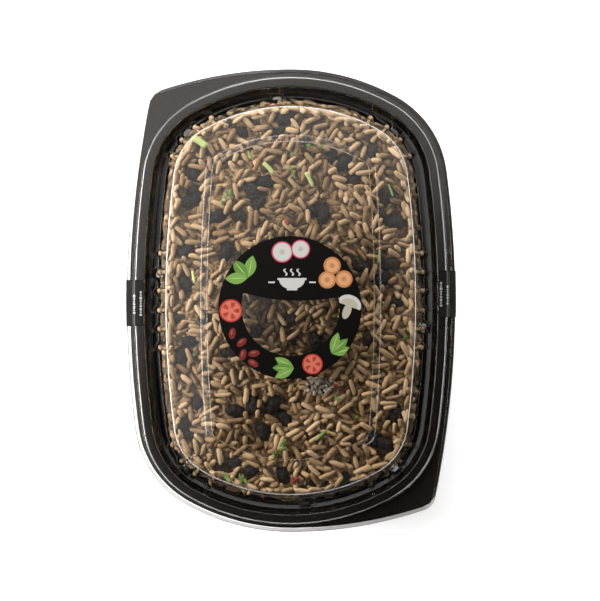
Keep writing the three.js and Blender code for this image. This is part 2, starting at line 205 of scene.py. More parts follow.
class Finish(Nodes):
    """A material."""

    def __init__(self, name, **settings):
        self.material = bpy.data.materials.new(name)
        self.material.use_nodes = True
        super().__init__(self.material.node_tree)
        self.tree.nodes.clear()
        self.output = self.tree.nodes.new("ShaderNodeOutputMaterial")
        self.surface = self.tree.nodes.new("ShaderNodeBsdfPrincipled")
        self.tree.links.new(self.surface.outputs[0], self.output.inputs["Surface"])
        self.set(**settings)

    def set(self, **sockets):
        for socket, value in sockets.items():
            self.feed(self.surface, socket.replace("_", " "), value)

    def place(self):
        return self.node("ShaderNodeTexCoord", {}, out="Object")

    def axes(self):
        """The piece's X, Y and Z in millimetres."""
        return tuple(axis * 1000.0 for axis in self.split(self.place()))

    def noise(self, scale, detail=3.0, roughness=0.55):
        return self.node("ShaderNodeTexNoise", {}, Vector=self.place(), Scale=scale, Detail=detail, Roughness=roughness)

    def attribute(self, name):
        return self.node("ShaderNodeAttribute", {"attribute_name": name}, out="Fac")

    def blend(self, share, one, other):
        """One colour turning into the other as the share goes from 0 to 1."""
        made = self.tree.nodes.new("ShaderNodeMix")
        made.data_type = "RGBA"
        self.feed(made, 0, share)
        self.feed(made, 6, one)
        self.feed(made, 7, other)
        return Wire(self, made.outputs[2])

    def bump(self, height, depth, strength=1.0):
        return self.node("ShaderNodeBump", {}, Strength=strength, Distance=depth, Height=height)


def black_tray_plastic():
    finish = Finish("black_tray_plastic", Specular_IOR_Level=0.5)
    flow = finish.noise(30.0, 2.0)
    finish.set(
        Base_Color=finish.blend(flow, (0.0062, 0.0052, 0.0044), (0.0098, 0.0084, 0.0072)),
        Roughness=finish.clamped(0.145 + flow * 0.08),
        Normal=finish.bump(flow, 0.00015, 0.12),
    )
    return finish.material


def clear_sheet(name, tint, roughness, painted_shade_edge_tint=None):
    """Clear sheet: it bends light for what looks through it and lets lamp light straight in."""
    finish = Finish(name, Base_Color=tint, Roughness=roughness, IOR=1.57, Transmission_Weight=1.0)
    # The outermost rings take a grey tint: painted shade for the floor under the overhanging rim, seen through the
    # sheet.
    if painted_shade_edge_tint:
        finish.set(Base_Color=finish.blend(finish.attribute("ring").below(4.5), tint, painted_shade_edge_tint))
    through = finish.tree.nodes.new("ShaderNodeBsdfTransparent")
    through.inputs["Color"].default_value = (0.93, 0.93, 0.925, 1.0)
    lamp_ray = finish.node("ShaderNodeLightPath", {}, out="Is Shadow Ray")
    mix = finish.tree.nodes.new("ShaderNodeMixShader")
    finish.tree.links.new(lamp_ray.socket, mix.inputs[0])
    finish.tree.links.new(finish.surface.outputs[0], mix.inputs[1])
    finish.tree.links.new(through.outputs[0], mix.inputs[2])
    finish.tree.links.new(mix.outputs[0], finish.output.inputs["Surface"])
    return finish.material


def rice_finish():
    finish = Finish("cooked_rice", Specular_IOR_Level=0.35, Subsurface_Weight=0.05)
    finish.surface.inputs["Subsurface Radius"].default_value = (0.0020, 0.0013, 0.0008)
    # The tone holds each grain's own random tone plus the painted light and shade that make_food adds.
    tone = finish.attribute("tone")
    fleck = finish.noise(420.0, 3.0)
    patch = finish.noise(26.0, 2.0)
    mixed = finish.clamped(tone * 0.62 + fleck * 0.40 + patch * 0.4 - 0.22)
    finish.set(
        Base_Color=finish.ramp(
            mixed,
            (0.0, (0.050, 0.028, 0.013)),
            (0.30, (0.164, 0.101, 0.050)),
            (0.62, (0.276, 0.184, 0.102)),
            (1.0, (0.385, 0.274, 0.166)),
        ),
        Roughness=finish.clamped(0.42 + fleck * 0.25),
        Normal=finish.bump(fleck, 0.00025, 0.7),
    )
    return finish.material


def bean_skin():
    finish = Finish("black_bean_skin", Specular_IOR_Level=0.5)
    tone = finish.attribute("tone")
    cloud = finish.noise(260.0, 4.0, 0.65)
    wrinkle = finish.noise(760.0, 4.0, 0.7)
    finish.set(
        Base_Color=finish.ramp(
            finish.clamped(cloud * 0.9 + tone * 0.3 - 0.12),
            (0.0, (0.0030, 0.0024, 0.0022)),
            (0.54, (0.008, 0.0062, 0.0054)),
            (0.76, (0.022, 0.016, 0.013)),
            (0.92, (0.100, 0.068, 0.050)),
        ),
        Roughness=finish.clamped(0.14 + cloud * 0.35),
        Normal=finish.bump(cloud * 0.8 + wrinkle * 0.5, 0.0016, 1.0),
    )
    return finish.material


def painted_shade_core_finish():
    """Seen only between the grains: broken rice and bean liquor, coloured much darker than the grains as painted shade
    for the gaps.
    """
    finish = Finish("grain_core_painted_shade", Specular_IOR_Level=0.3)
    lump = finish.noise(300.0, 3.0)
    finish.set(
        Base_Color=finish.ramp(lump, (0.35, (0.012, 0.007, 0.004)), (0.7, (0.070, 0.042, 0.024))),
        Roughness=finish.clamped(0.5 + lump * 0.2),
        Normal=finish.bump(lump, 0.002, 0.9),
    )
    return finish.material


def garnish_finish(name, dark, light):
    finish = Finish(name, Specular_IOR_Level=0.4, Subsurface_Weight=0.1)
    finish.surface.inputs["Subsurface Radius"].default_value = (0.0010, 0.0012, 0.0005)
    tone = finish.attribute("tone")
    vein = finish.noise(500.0, 3.0)
    finish.set(
        Base_Color=finish.blend(finish.clamped(vein * 0.9 + tone * 0.5 - 0.25), dark, light),
        Roughness=finish.clamped(0.34 + vein * 0.2),
        Normal=finish.bump(vein, 0.0003, 0.6),
    )
    return finish.material


class Print(Finish):
    """A printed film: flat shapes laid one over another on a ground colour, placed in millimetres."""

    EDGE = 0.10

    def __init__(self, name, ground, centre, **settings):
        super().__init__(name, **settings)
        x, y, _ = self.axes()
        self.x, self.y = x - centre[0], y - centre[1]
        self.colour = ground

    def local(self, at, degrees=0.0):
        """Places measured along and across a shape that is turned about its centre."""
        x, y = self.x - at[0], self.y - at[1]
        c, s = math.cos(math.radians(degrees)), math.sin(math.radians(degrees))
        if not degrees:
            return x, y
        return x * c + y * s, y * c - x * s

    def ink(self, mask, colour):
        self.colour = self.blend(mask, self.colour, colour)

    def oval(self, at, long, wide, degrees=0.0):
        u, v = self.local(at, degrees)
        u, v = u / (long / 2), v / (wide / 2)
        return (u * u + v * v).root().below(1.0, 2 * self.EDGE / min(long, wide) * 2)

    def leaf(self, at, long, wide, degrees):
        u, v = self.local(at, degrees)
        u = u / (long / 2)
        return (v.size() / (wide / 2) + u * u).below(1.0, 4 * self.EDGE / wide)

    def bar(self, at, long, wide, degrees=0.0):
        u, v = self.local(at, degrees)
        return u.size().below(long / 2, self.EDGE).least(v.size().below(wide / 2, self.EDGE))

    def done(self):
        self.set(Base_Color=self.colour)
        return self.material


GREEN, MID_GREEN, PALE_GREEN = (0.060, 0.122, 0.026), (0.090, 0.165, 0.038), (0.180, 0.262, 0.080)
RED, PALE_RED = (0.210, 0.022, 0.019), (0.290, 0.084, 0.052)
ORANGE, PALE_ORANGE = (0.255, 0.105, 0.040), (0.325, 0.170, 0.082)
WHITE, CREAM = (0.275, 0.272, 0.255), (0.225, 0.205, 0.160)
MAROON, PALE_MAROON = (0.085, 0.013, 0.011), (0.170, 0.046, 0.040)


def print_sprig(art, at, degrees, long=9.0, wide=4.6, spread=52):
    """Three pointed leaves that fan out from one place."""
    for k in range(3):
        turn = degrees + (k - 1) * spread
        away = (math.cos(math.radians(turn)), math.sin(math.radians(turn)))
        middle = (at[0] + away[0] * long * 0.52, at[1] + away[1] * long * 0.52)
        art.ink(art.leaf(middle, long, wide, turn), GREEN if k % 2 else MID_GREEN)
        art.ink(art.leaf(middle, long * 0.8, 0.5, turn), PALE_GREEN)


def print_tomato(art, at, radius):
    u, v = art.local(at)
    away = (u * u + v * v).root()
    art.ink(away.below(radius, art.EDGE), RED)
    art.ink(away.below(radius * 0.86, art.EDGE), PALE_RED)
    pockets = (v.turn_from(u) * 5.0).wave()
    ring = (away - radius * 0.52).size().below(radius * 0.24, art.EDGE)
    art.ink(ring.least((0.1 - pockets).below(0.0, 0.4)), RED)


def print_coins(art, places, radius):
    for at in places:
        art.ink(art.oval(at, 2 * radius, 2 * radius), ORANGE)
        art.ink(art.oval(at, 1.5 * radius, 1.5 * radius), PALE_ORANGE)
        art.ink(art.oval(at, 0.6 * radius, 0.6 * radius), ORANGE)


def print_radish(art, at, radius):
    art.ink(art.oval(at, 2 * radius, 2 * radius), (0.260, 0.030, 0.060))
    art.ink(art.oval(at, 1.74 * radius, 1.74 * radius), WHITE)
    art.ink(art.oval(at, 0.5 * radius, 0.5 * radius), CREAM)


def print_mushroom(art, at, degrees):
    """A cut mushroom: its cap is most of an oval, over a stem."""
    art.ink(art.oval(art_offset(at, degrees, -3.4), 8.0, 4.0, degrees), CREAM)
    u, _ = art.local(at, degrees)
    cap = art.oval(at, 9.4, 11.8, degrees).least((-0.8 - u).below(0.0, art.EDGE))
    art.ink(cap, WHITE)
    art.ink(cap.least(art.oval(at, 5.8, 8.4, degrees)), CREAM)


def art_offset(at, degrees, along):
    return at[0] + along * math.cos(math.radians(degrees)), at[1] + along * math.sin(math.radians(degrees))


def print_beans(art, places):
    for x, y, degrees in places:
        art.ink(art.oval((x, y), 5.6, 3.3, degrees), MAROON)
        art.ink(art.oval((x - 0.3, y + 0.5), 2.6, 0.9, degrees), PALE_MAROON)


def print_bowl(art, at):
    """A plain white bowl under three curls of steam, with a rule on each side."""
    u, v = art.local(at)
    dish = art.oval(at, 12.6, 9.6).least(v.below(0.0, art.EDGE))
    art.ink(dish, WHITE)
    art.ink(art.bar((at[0], at[1] + 0.2), 14.2, 1.0), WHITE)
    art.ink(art.bar((at[0], at[1] - 4.9), 5.0, 0.9), WHITE)
    for k in (-1, 0, 1):
        curl = (u - k * 3.2 - (v * 1.75 - 4.55).wave() * 0.6).size().below(0.45, art.EDGE)
        art.ink(curl.least((v - 3.5).size().below(1.7, art.EDGE)), WHITE)
    for side in (-1, 1):
        art.ink(art.bar((at[0] + side * 10.0, at[1] - 1.4), 3.2, 0.8), WHITE)


def label_print():
    """Black, with a ring of plain vegetable shapes and a bowl."""
    art = Print("label_print", (0.0022, 0.0019, 0.0016), LABEL_CENTRE, Specular_IOR_Level=0.2)
    print_radish(art, (-3.8, 27.2), 5.2)
    print_radish(art, (5.2, 28.6), 4.6)
    print_sprig(art, (-20.5, 14.5), 130, 11.0, 5.6)
    print_coins(art, ((20.6, 20.6), (26.4, 14.0), (18.2, 13.6)), 4.2)
    print_tomato(art, (-28.9, -1.5), 5.6)
    print_mushroom(art, (29.0, 1.5), 70)
    print_beans(art, ((-23.6, -17.0, 40), (-17.6, -22.4, 10), (-23.0, -23.0, 75), (-28.2, -12.6, 80), (-18.0, -27.2, 150)))
    print_sprig(art, (2.0, -29.6), 179, 10.4, 4.4, 28)
    print_sprig(art, (20.2, -22.4), 42, 10.6, 4.4, 30)
    print_tomato(art, (11.0, -27.6), 5.0)
    print_bowl(art, (1.0, 13.8))
    art.set(Roughness=art.clamped(0.16 + art.noise(60.0, 2.0) * 0.08))
    return art.done()


def seal_print(side, middle):
    """Black film with two rows of fine pale dashes along the rim."""
    art = Print("seal_film_" + ("left" if side < 0 else "right"), (0.0040, 0.0035, 0.0031), (0.0, 0.0))
    for x, first, last in ((side * 79.2, -5.4, 4.2), (side * 75.8, -6.4, 5.8)):
        y = first
        step = 0
        while y < last:
            long = (0.9, 0.7, 1.3, 0.8)[step % 4]
            wide = (1.2, 0.8, 1.0)[step % 3]
            art.ink(art.bar((x, middle + y + long / 2), wide, long), (0.27, 0.266, 0.245))
            y += long + 0.5
            step += 1
    crease = art.noise(170.0, 2.0)
    art.set(Roughness=art.clamped(0.16 + crease * 0.14), Normal=art.bump(crease, 0.0005, 0.5))
    return art.done()


# ------------------------------------------------------------------ outlines


def arcs_of(plan):
    """A quarter outline's three arcs, from the side's middle to the end's: centre, radius, start and end angle."""
    half_width, half_length, side, end, corner = plan
    side_centre = np.array([half_width - side, 0.0])
    end_centre = np.array([0.0, half_length - end])
    side_reach, end_reach = side - corner, end - corner
    span = np.linalg.norm(side_centre - end_centre)
    toward = (side_centre - end_centre) / span
    along = (end_reach**2 - side_reach**2 + span**2) / (2 * span)
    across = math.sqrt(end_reach**2 - along**2)
    foot = end_centre + toward * along
    sideways = np.array([toward[1], -toward[0]]) * across
    centre = max((foot + sideways, foot - sideways), key=sum)
    side_turn = math.atan2(*(centre - side_centre)[::-1])
    end_turn = math.atan2(*(centre - end_centre)[::-1])
    return [
        (side_centre, side, 0.0, side_turn),
        (centre, corner, side_turn, end_turn),
        (end_centre, end, end_turn, math.pi / 2),
    ]


def where_ray_meets(plan, centre, angle):
    """The point of a quarter outline on a ray, and the outline's normal there."""
    points, normals = [], []
    for arc_centre, radius, start, stop in arcs_of(plan):
        turn = np.linspace(start, stop, 200)
        normal = np.stack([np.cos(turn), np.sin(turn)], axis=1)
        points.append(arc_centre + radius * normal)
        normals.append(normal)
    points, normals = np.concatenate(points), np.concatenate(normals)
    side = (points[:, 0] - centre[0]) * math.sin(angle) - (points[:, 1] - centre[1]) * math.cos(angle)
    after = int(np.argmax(side <= 1e-9))
    if after == 0:
        return points[0], normals[0]
    share = side[after - 1] / (side[after - 1] - side[after] + 1e-12)
    normal = normals[after - 1] * (1 - share) + normals[after] * share
    return points[after - 1] * (1 - share) + points[after] * share, normal / np.linalg.norm(normal)


def foot_inset(endward):
    """How far in the dome's foot is, from the sides, where endward is 0, to the ends, where it is 1."""
    return DOME_FOOT_SIDE + (DOME_FOOT_END - DOME_FOOT_SIDE) * endward


class Stations:
    """Places round the rim. Each has its point on the rim, the way out from it, and what lies on its ray."""

    PLACES = ("rim", "out", "edge", "panel", "panel_out")
    DISTANCES = ("foot", "rib", "lug")

    def __init__(self, coarse, fine=None):
        plain = self._quarter(coarse, fine, tabbed=False)
        tabbed = self._quarter(coarse, fine, tabbed=True)
        quarters = [
            self._turned(plain, 1, 1, False),
            self._turned(tabbed, -1, 1, True),
            self._turned(plain, -1, -1, False),
            self._turned(tabbed, 1, -1, True),
        ]
        for key in self.PLACES + self.DISTANCES:
            setattr(self, key, np.concatenate([quarter[key][:-1] for quarter in quarters]))
        self.count = len(self.rim)

    def _quarter(self, coarse, fine, tabbed):
        arcs = arcs_of(RIM_PLAN)
        lengths = [(radius - (DOME_FOOT_SIDE + DOME_FOOT_END) / 2) * (stop - start) for _, radius, start, stop in arcs]
        total = sum(lengths)
        corner = lengths[0] + lengths[1] / 2 + CORNER_GROUP_SHIFT
        ribs = [RIB_PITCH * k for k in (0.5, 1.5, 2.5)] + [corner + RIB_PITCH * k for k in (-1.5, -0.5, 0.5, 1.5)]
        lugs = [corner] + ([SIDE_LUG, total - END_LUG] if tabbed else [])
        marks, mark = [0.0], 0.0
        while True:
            near = fine and (
                min(abs(mark - rib) for rib in ribs) < RIB_HALF_WIDTH + 0.7
                or min(abs(mark - lug) for lug in lugs) < LUG_RADIUS + 0.5
            )
            step = fine if near else coarse
            mark += step
            if mark > total - 0.4 * step:
                break
            marks.append(mark)
        marks.append(total)
        rows = {key: [] for key in self.PLACES + self.DISTANCES}
        for mark in marks:
            centre, radius, angle = self._arc_at(arcs, lengths, mark)
            out = np.array([math.cos(angle), math.sin(angle)])
            rim = centre + radius * out
            panel, panel_out = where_ray_meets(PANEL_PLAN, centre, angle)
            rows["rim"].append(rim)
            rows["out"].append(out)
            rows["edge"].append(where_ray_meets(TAB_PLAN, centre, angle)[0] if tabbed else rim)
            rows["panel"].append(panel)
            rows["panel_out"].append(panel_out)
            rows["foot"].append(foot_inset(math.sin(angle) ** 2))
            rows["rib"].append(min(abs(mark - rib) for rib in ribs))
            rows["lug"].append(min(abs(mark - lug) for lug in lugs))
        return {key: np.array(value) for key, value in rows.items()}

    @staticmethod
    def _arc_at(arcs, lengths, mark):
        for (centre, radius, start, stop), length in zip(arcs, lengths):
            if mark <= length:
                return centre, radius, start + (stop - start) * mark / length
            mark -= length
        return centre, radius, stop

    @staticmethod
    def _turned(quarter, sign_x, sign_y, backwards):
        turned = {}
        for key, value in quarter.items():
            if value.ndim == 2:
                value = value * np.array([sign_x, sign_y])
            turned[key] = value[::-1] if backwards else value
        return turned

    def ring(self, inset, z):
        return level(self.rim - self.out * np.reshape(inset, (-1, 1)), z)

    def edge_ring(self, inset, z, shift=(0.0, 0.0)):
        return level(self.edge - self.out * inset + np.array(shift), z)

    def panel_ring(self, inset, z):
        return level(self.panel - self.panel_out * inset, z)

    def shrunk_panel_ring(self, share, inset, z):
        return level((self.panel - self.panel_out * inset) * share, z)


def level(points, z):
    return np.column_stack([points, np.broadcast_to(z, (len(points),))]) * MM


def softened(corners, steps=4):
    """A profile of (inset, z, radius) corners, each rounded to its radius."""
    profile = [corners[0][:2]]
    for before, corner, after in zip(corners, corners[1:], corners[2:]):
        here = np.array(corner[:2])
        back, ahead = np.array(before[:2]) - here, np.array(after[:2]) - here
        length_back, length_ahead = np.linalg.norm(back), np.linalg.norm(ahead)
        back, ahead = back / length_back, ahead / length_ahead
        turn = math.pi - math.acos(float(np.clip(back @ ahead, -1, 1)))
        if not corner[2] or turn < 0.02:
            profile.append(corner[:2])
            continue
        cut = min(corner[2] * math.tan(turn / 2), 0.48 * length_back, 0.48 * length_ahead)
        first, last = here + back * cut, here + ahead * cut
        for step in range(steps + 1):
            share = step / steps
            point = (1 - share) ** 2 * first + 2 * share * (1 - share) * here + share**2 * last
            profile.append((float(point[0]), float(point[1])))
    profile.append(corners[-1][:2])
    return profile


# ------------------------------------------------------------------ modelling


def clear_selection():
    if bpy.context.object and bpy.context.object.mode != "OBJECT":
        bpy.ops.object.mode_set(mode="OBJECT")
    bpy.ops.object.select_all(action="DESELECT")


def pick(piece):
    clear_selection()
    piece.select_set(True)
    bpy.context.view_layer.objects.active = piece
    return piece


def apply_modifier(piece, kind, **settings):
    pick(piece)
    modifier = piece.modifiers.new(kind.title(), kind)
    for key, value in settings.items():
        setattr(modifier, key, value)
    bpy.ops.object.modifier_apply(modifier=modifier.name)


def drawn_sheet(name, rings, closed_start=False, closed_end=True):
    """A sheet drawn from ring to ring: a circle's edge is laid on the first, and each extrusion of it on the next."""
    clear_selection()
    bpy.ops.mesh.primitive_circle_add(vertices=len(rings[0]), radius=0.1)
    sheet = bpy.context.object
    sheet.name = sheet.data.name = name
    bpy.ops.object.mode_set(mode="EDIT")
    mesh = bmesh.from_edit_mesh(sheet.data)
    station = mesh.verts.layers.int.new("station")
    mesh.verts.layers.float.new("ring")
    for index, vertex in enumerate(mesh.verts):
        vertex[station] = index
        vertex.co = rings[0][index]
    bmesh.update_edit_mesh(sheet.data)
    bpy.ops.mesh.select_all(action="SELECT")
    for number, ring in enumerate(rings[1:], 1):
        bpy.ops.mesh.extrude_edges_move()
        mesh = bmesh.from_edit_mesh(sheet.data)
        station, ring_number = mesh.verts.layers.int["station"], mesh.verts.layers.float["ring"]
        for vertex in mesh.verts:
            if vertex.select:
                vertex.co = ring[vertex[station]]
                vertex[ring_number] = number
        bmesh.update_edit_mesh(sheet.data)
    if closed_end:
        bpy.ops.mesh.edge_face_add()
    if closed_start:
        mesh = bmesh.from_edit_mesh(sheet.data)
        mesh.edges.ensure_lookup_table()
        for edge in mesh.edges:
            edge.select = edge.is_boundary
        mesh.select_flush_mode()
        bmesh.update_edit_mesh(sheet.data)
        bpy.ops.mesh.edge_face_add()
    bpy.ops.mesh.select_all(action="SELECT")
    bpy.ops.mesh.normals_make_consistent(inside=False)
    bpy.ops.object.mode_set(mode="OBJECT")
    return sheet


def face_up(sheet):
    """Turns an open sheet so that its largest face looks up."""
    widest = max(sheet.data.polygons, key=lambda face: face.area)
    if widest.normal.z < 0:
        pick(sheet)
        bpy.ops.object.mode_set(mode="EDIT")
        bpy.ops.mesh.select_all(action="SELECT")
        bpy.ops.mesh.flip_normals()
        bpy.ops.object.mode_set(mode="OBJECT")
    return sheet


def smooth(piece, degrees=40):
    pick(piece)
    bpy.ops.object.shade_smooth_by_angle(angle=math.radians(degrees))


def finished(piece, material, slot, *nodes):
    piece.data.materials.clear()
    piece.data.materials.append(material)
    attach(piece, BODY)
    if nodes:
        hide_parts(*nodes)
    return piece


# ------------------------------------------------------------------ tray and lid


def make_tray():
    stations = Stations(coarse=2.4)
    trim = {"shift": (0.7, 0.9)}
    profile = softened(
        [
            (2.6, RIM_Z - 0.05, 0),
            (4.4, RIM_Z, 0.5),
            (5.1, BEAD_TOP, 1.1),
            (9.3, BEAD_TOP - 0.2, 0.9),
            (10.6, SEAT_Z - 0.1, 0.5),
            (12.2, SEAT_Z - 0.3, 0.8),
            (16.6, 6.2, 3.0),
            (21.5, TRAY_WALL, 4.0),
            (32.0, TRAY_WALL, 0.6),
            (34.0, TRAY_WALL + 1.0, 0.6),
            (40.0, TRAY_WALL + 1.0, 0),
        ]
    )
    rings = [
        stations.edge_ring(1.0, RIM_Z - 0.85, **trim),
        stations.edge_ring(1.0, RIM_Z - 0.35, **trim),
        stations.edge_ring(1.25, RIM_Z - 0.2, **trim),
    ]
    rings += [stations.ring(inset, z) for inset, z in profile]
    rings += [stations.shrunk_panel_ring(share, 0, TRAY_WALL + 1.0) for share in (0.7, 0.25)]
    tray = face_up(drawn_sheet("tray_shell", rings))
    apply_modifier(tray, "SOLIDIFY", thickness=0.7 * MM, offset=-1)
    smooth(tray)
    apply_modifier(tray, "WEIGHTED_NORMAL", keep_sharp=True)
    return finished(tray, black_tray_plastic(), "tray_plastic", "tray")


def make_lid():
    stations = Stations(coarse=2.0, fine=0.42)
    rim_top = RIM_Z + 0.12 + LID_WALL
    bead = softened(
        [
            (2.6, rim_top - 0.05, 0),
            (3.8, rim_top, 0.3),
            (4.6, 37.2, 1.2),
            (9.5, 37.0, 0.8),
            (11.0, CHANNEL_Z + CHANNEL_FALL, 0.5),
            (11.6, CHANNEL_Z + CHANNEL_FALL * 0.8, 0),
        ],
        steps=6,
    )
    rings = [
        stations.edge_ring(0.0, rim_top - 0.38),
        stations.edge_ring(0.15, rim_top - 0.20),
        stations.edge_ring(1.35, rim_top - 0.13),
        stations.edge_ring(1.50, rim_top + 0.02),
        stations.edge_ring(1.80, rim_top + 0.02),
        stations.edge_ring(1.95, rim_top - 0.10),
    ]
    rings += [stations.ring(inset, z) for inset, z in bead]
    rings += dome_rings(stations)
    step = softened(
        [(-6.0, 50.2, 0), (0.0, PANEL_FOOT_Z, 2.2), (PANEL_STEP, PANEL_Z, 0.9), (PANEL_STEP + 1.6, PANEL_Z, 0)], steps=5
    )
    rings += [stations.panel_ring(inset, z) for inset, z in step]
    rings += [stations.shrunk_panel_ring(share, PANEL_STEP + 1.6, PANEL_Z) for share in (0.8, 0.5, 0.15)]
    lid = face_up(drawn_sheet("lid_shell", rings))
    apply_modifier(lid, "SOLIDIFY", thickness=LID_WALL * MM, offset=-1)
    smooth(lid, 60)
    apply_modifier(lid, "WEIGHTED_NORMAL", keep_sharp=True)
    # The grey edge tint is painted shade for the floor under the overhang.
    clear = clear_sheet("clear_lid_plastic", (0.985, 0.985, 0.98), 0.006, painted_shade_edge_tint=(0.46, 0.455, 0.435))
    return finished(lid, clear, "lid_plastic", "lid")


def dome_rings(stations):
    """The dome's foot, wall and shoulder. Ribs and lugs push the wall out, and the channel's floor makes room."""
    bulge = lambda away, radius: np.sqrt(np.clip(1 - (away / radius) ** 2, 0, None))
    rib = bulge(stations.rib, RIB_HALF_WIDTH)
    lug = np.where(stations.lug < LUG_RADIUS, LUG_OUT + LUG_RADIUS * bulge(stations.lug, LUG_RADIUS), 0.0)
    height = DOME_TOP_Z - 1.6 - CHANNEL_Z

    def push(rise):
        rib_reach = rib * (RIB_REACH + (RIB_FADE - RIB_REACH) * rise / height) * min(1.0, max(0.0, height - rise) / 1.2)
        lug_share = max(0.0, 1 - (rise / (LUG_HEIGHT + 0.2)) ** 4)
        return np.minimum(np.maximum(rib_reach, lug * lug_share), stations.foot - 11.7)

    def wall(rise):
        lean = (DOME_TOP - stations.foot) * rise / height
        return stations.ring(stations.foot + lean - push(rise), CHANNEL_Z + rise)

    foot = stations.foot - push(0.0)
    fall = CHANNEL_FALL * 0.8
    start = 11.6
    rings = [stations.ring(start + (foot - start) * share, CHANNEL_Z + fall * (1 - share / 0.4)) for share in (0.2, 0.38)]
    run = np.minimum(FOOT_FILLET, (foot - start) * 0.6)
    lean = (DOME_TOP - stations.foot) / height * FOOT_FILLET
    for turn in (0.0, 0.2, 0.4, 0.6, 0.8, 1.0):
        rings.append(stations.ring(foot - run * (1 - turn) ** 2 + lean * turn**2, CHANNEL_Z + FOOT_FILLET * turn**2))
    rises = [1.5, 2.1, 2.5, 2.75, 2.9, 4.0, 6.0, 8.5, 11.0, 13.0, 14.6, 15.6, 16.4]
    rings += [wall(rise) for rise in rises if rise < height]
    shoulder = softened(
        [(DOME_TOP - 0.35, DOME_TOP_Z - 2.6, 0), (DOME_TOP + 0.3, DOME_TOP_Z - 0.2, 1.3), (26.0, DOME_TOP_Z + 0.25, 0)],
        steps=7,
    )[1:]
    return rings + [stations.ring(inset, z) for inset, z in shoulder]


# ------------------------------------------------------------------ food


def inset_of(x, y):
    """How far points lie inside the rim."""
    x, y = np.abs(x), np.abs(y)
    (side_c, side_r, _, _), (corner_c, corner_r, first, last), (end_c, end_r, _, _) = arcs_of(RIM_PLAN)
    side = side_r - np.hypot(x - side_c[0], y - side_c[1])
    end = end_r - np.hypot(x - end_c[0], y - end_c[1])
    corner = corner_r - np.hypot(x - corner_c[0], y - corner_c[1])
    turn = np.arctan2(y - corner_c[1], x - corner_c[0])
    in_corner = (turn > first) & (turn < last) & (x > corner_c[0]) & (y > corner_c[1])
    return np.where(in_corner, corner, np.minimum(side, end))


def mound_z(x, y):
    away = np.minimum(1.0, np.hypot(x / 61.5, y / 95.6))
    return HEAP_MIDDLE_Z + (HEAP_EDGE_Z - HEAP_MIDDLE_Z) * away**3


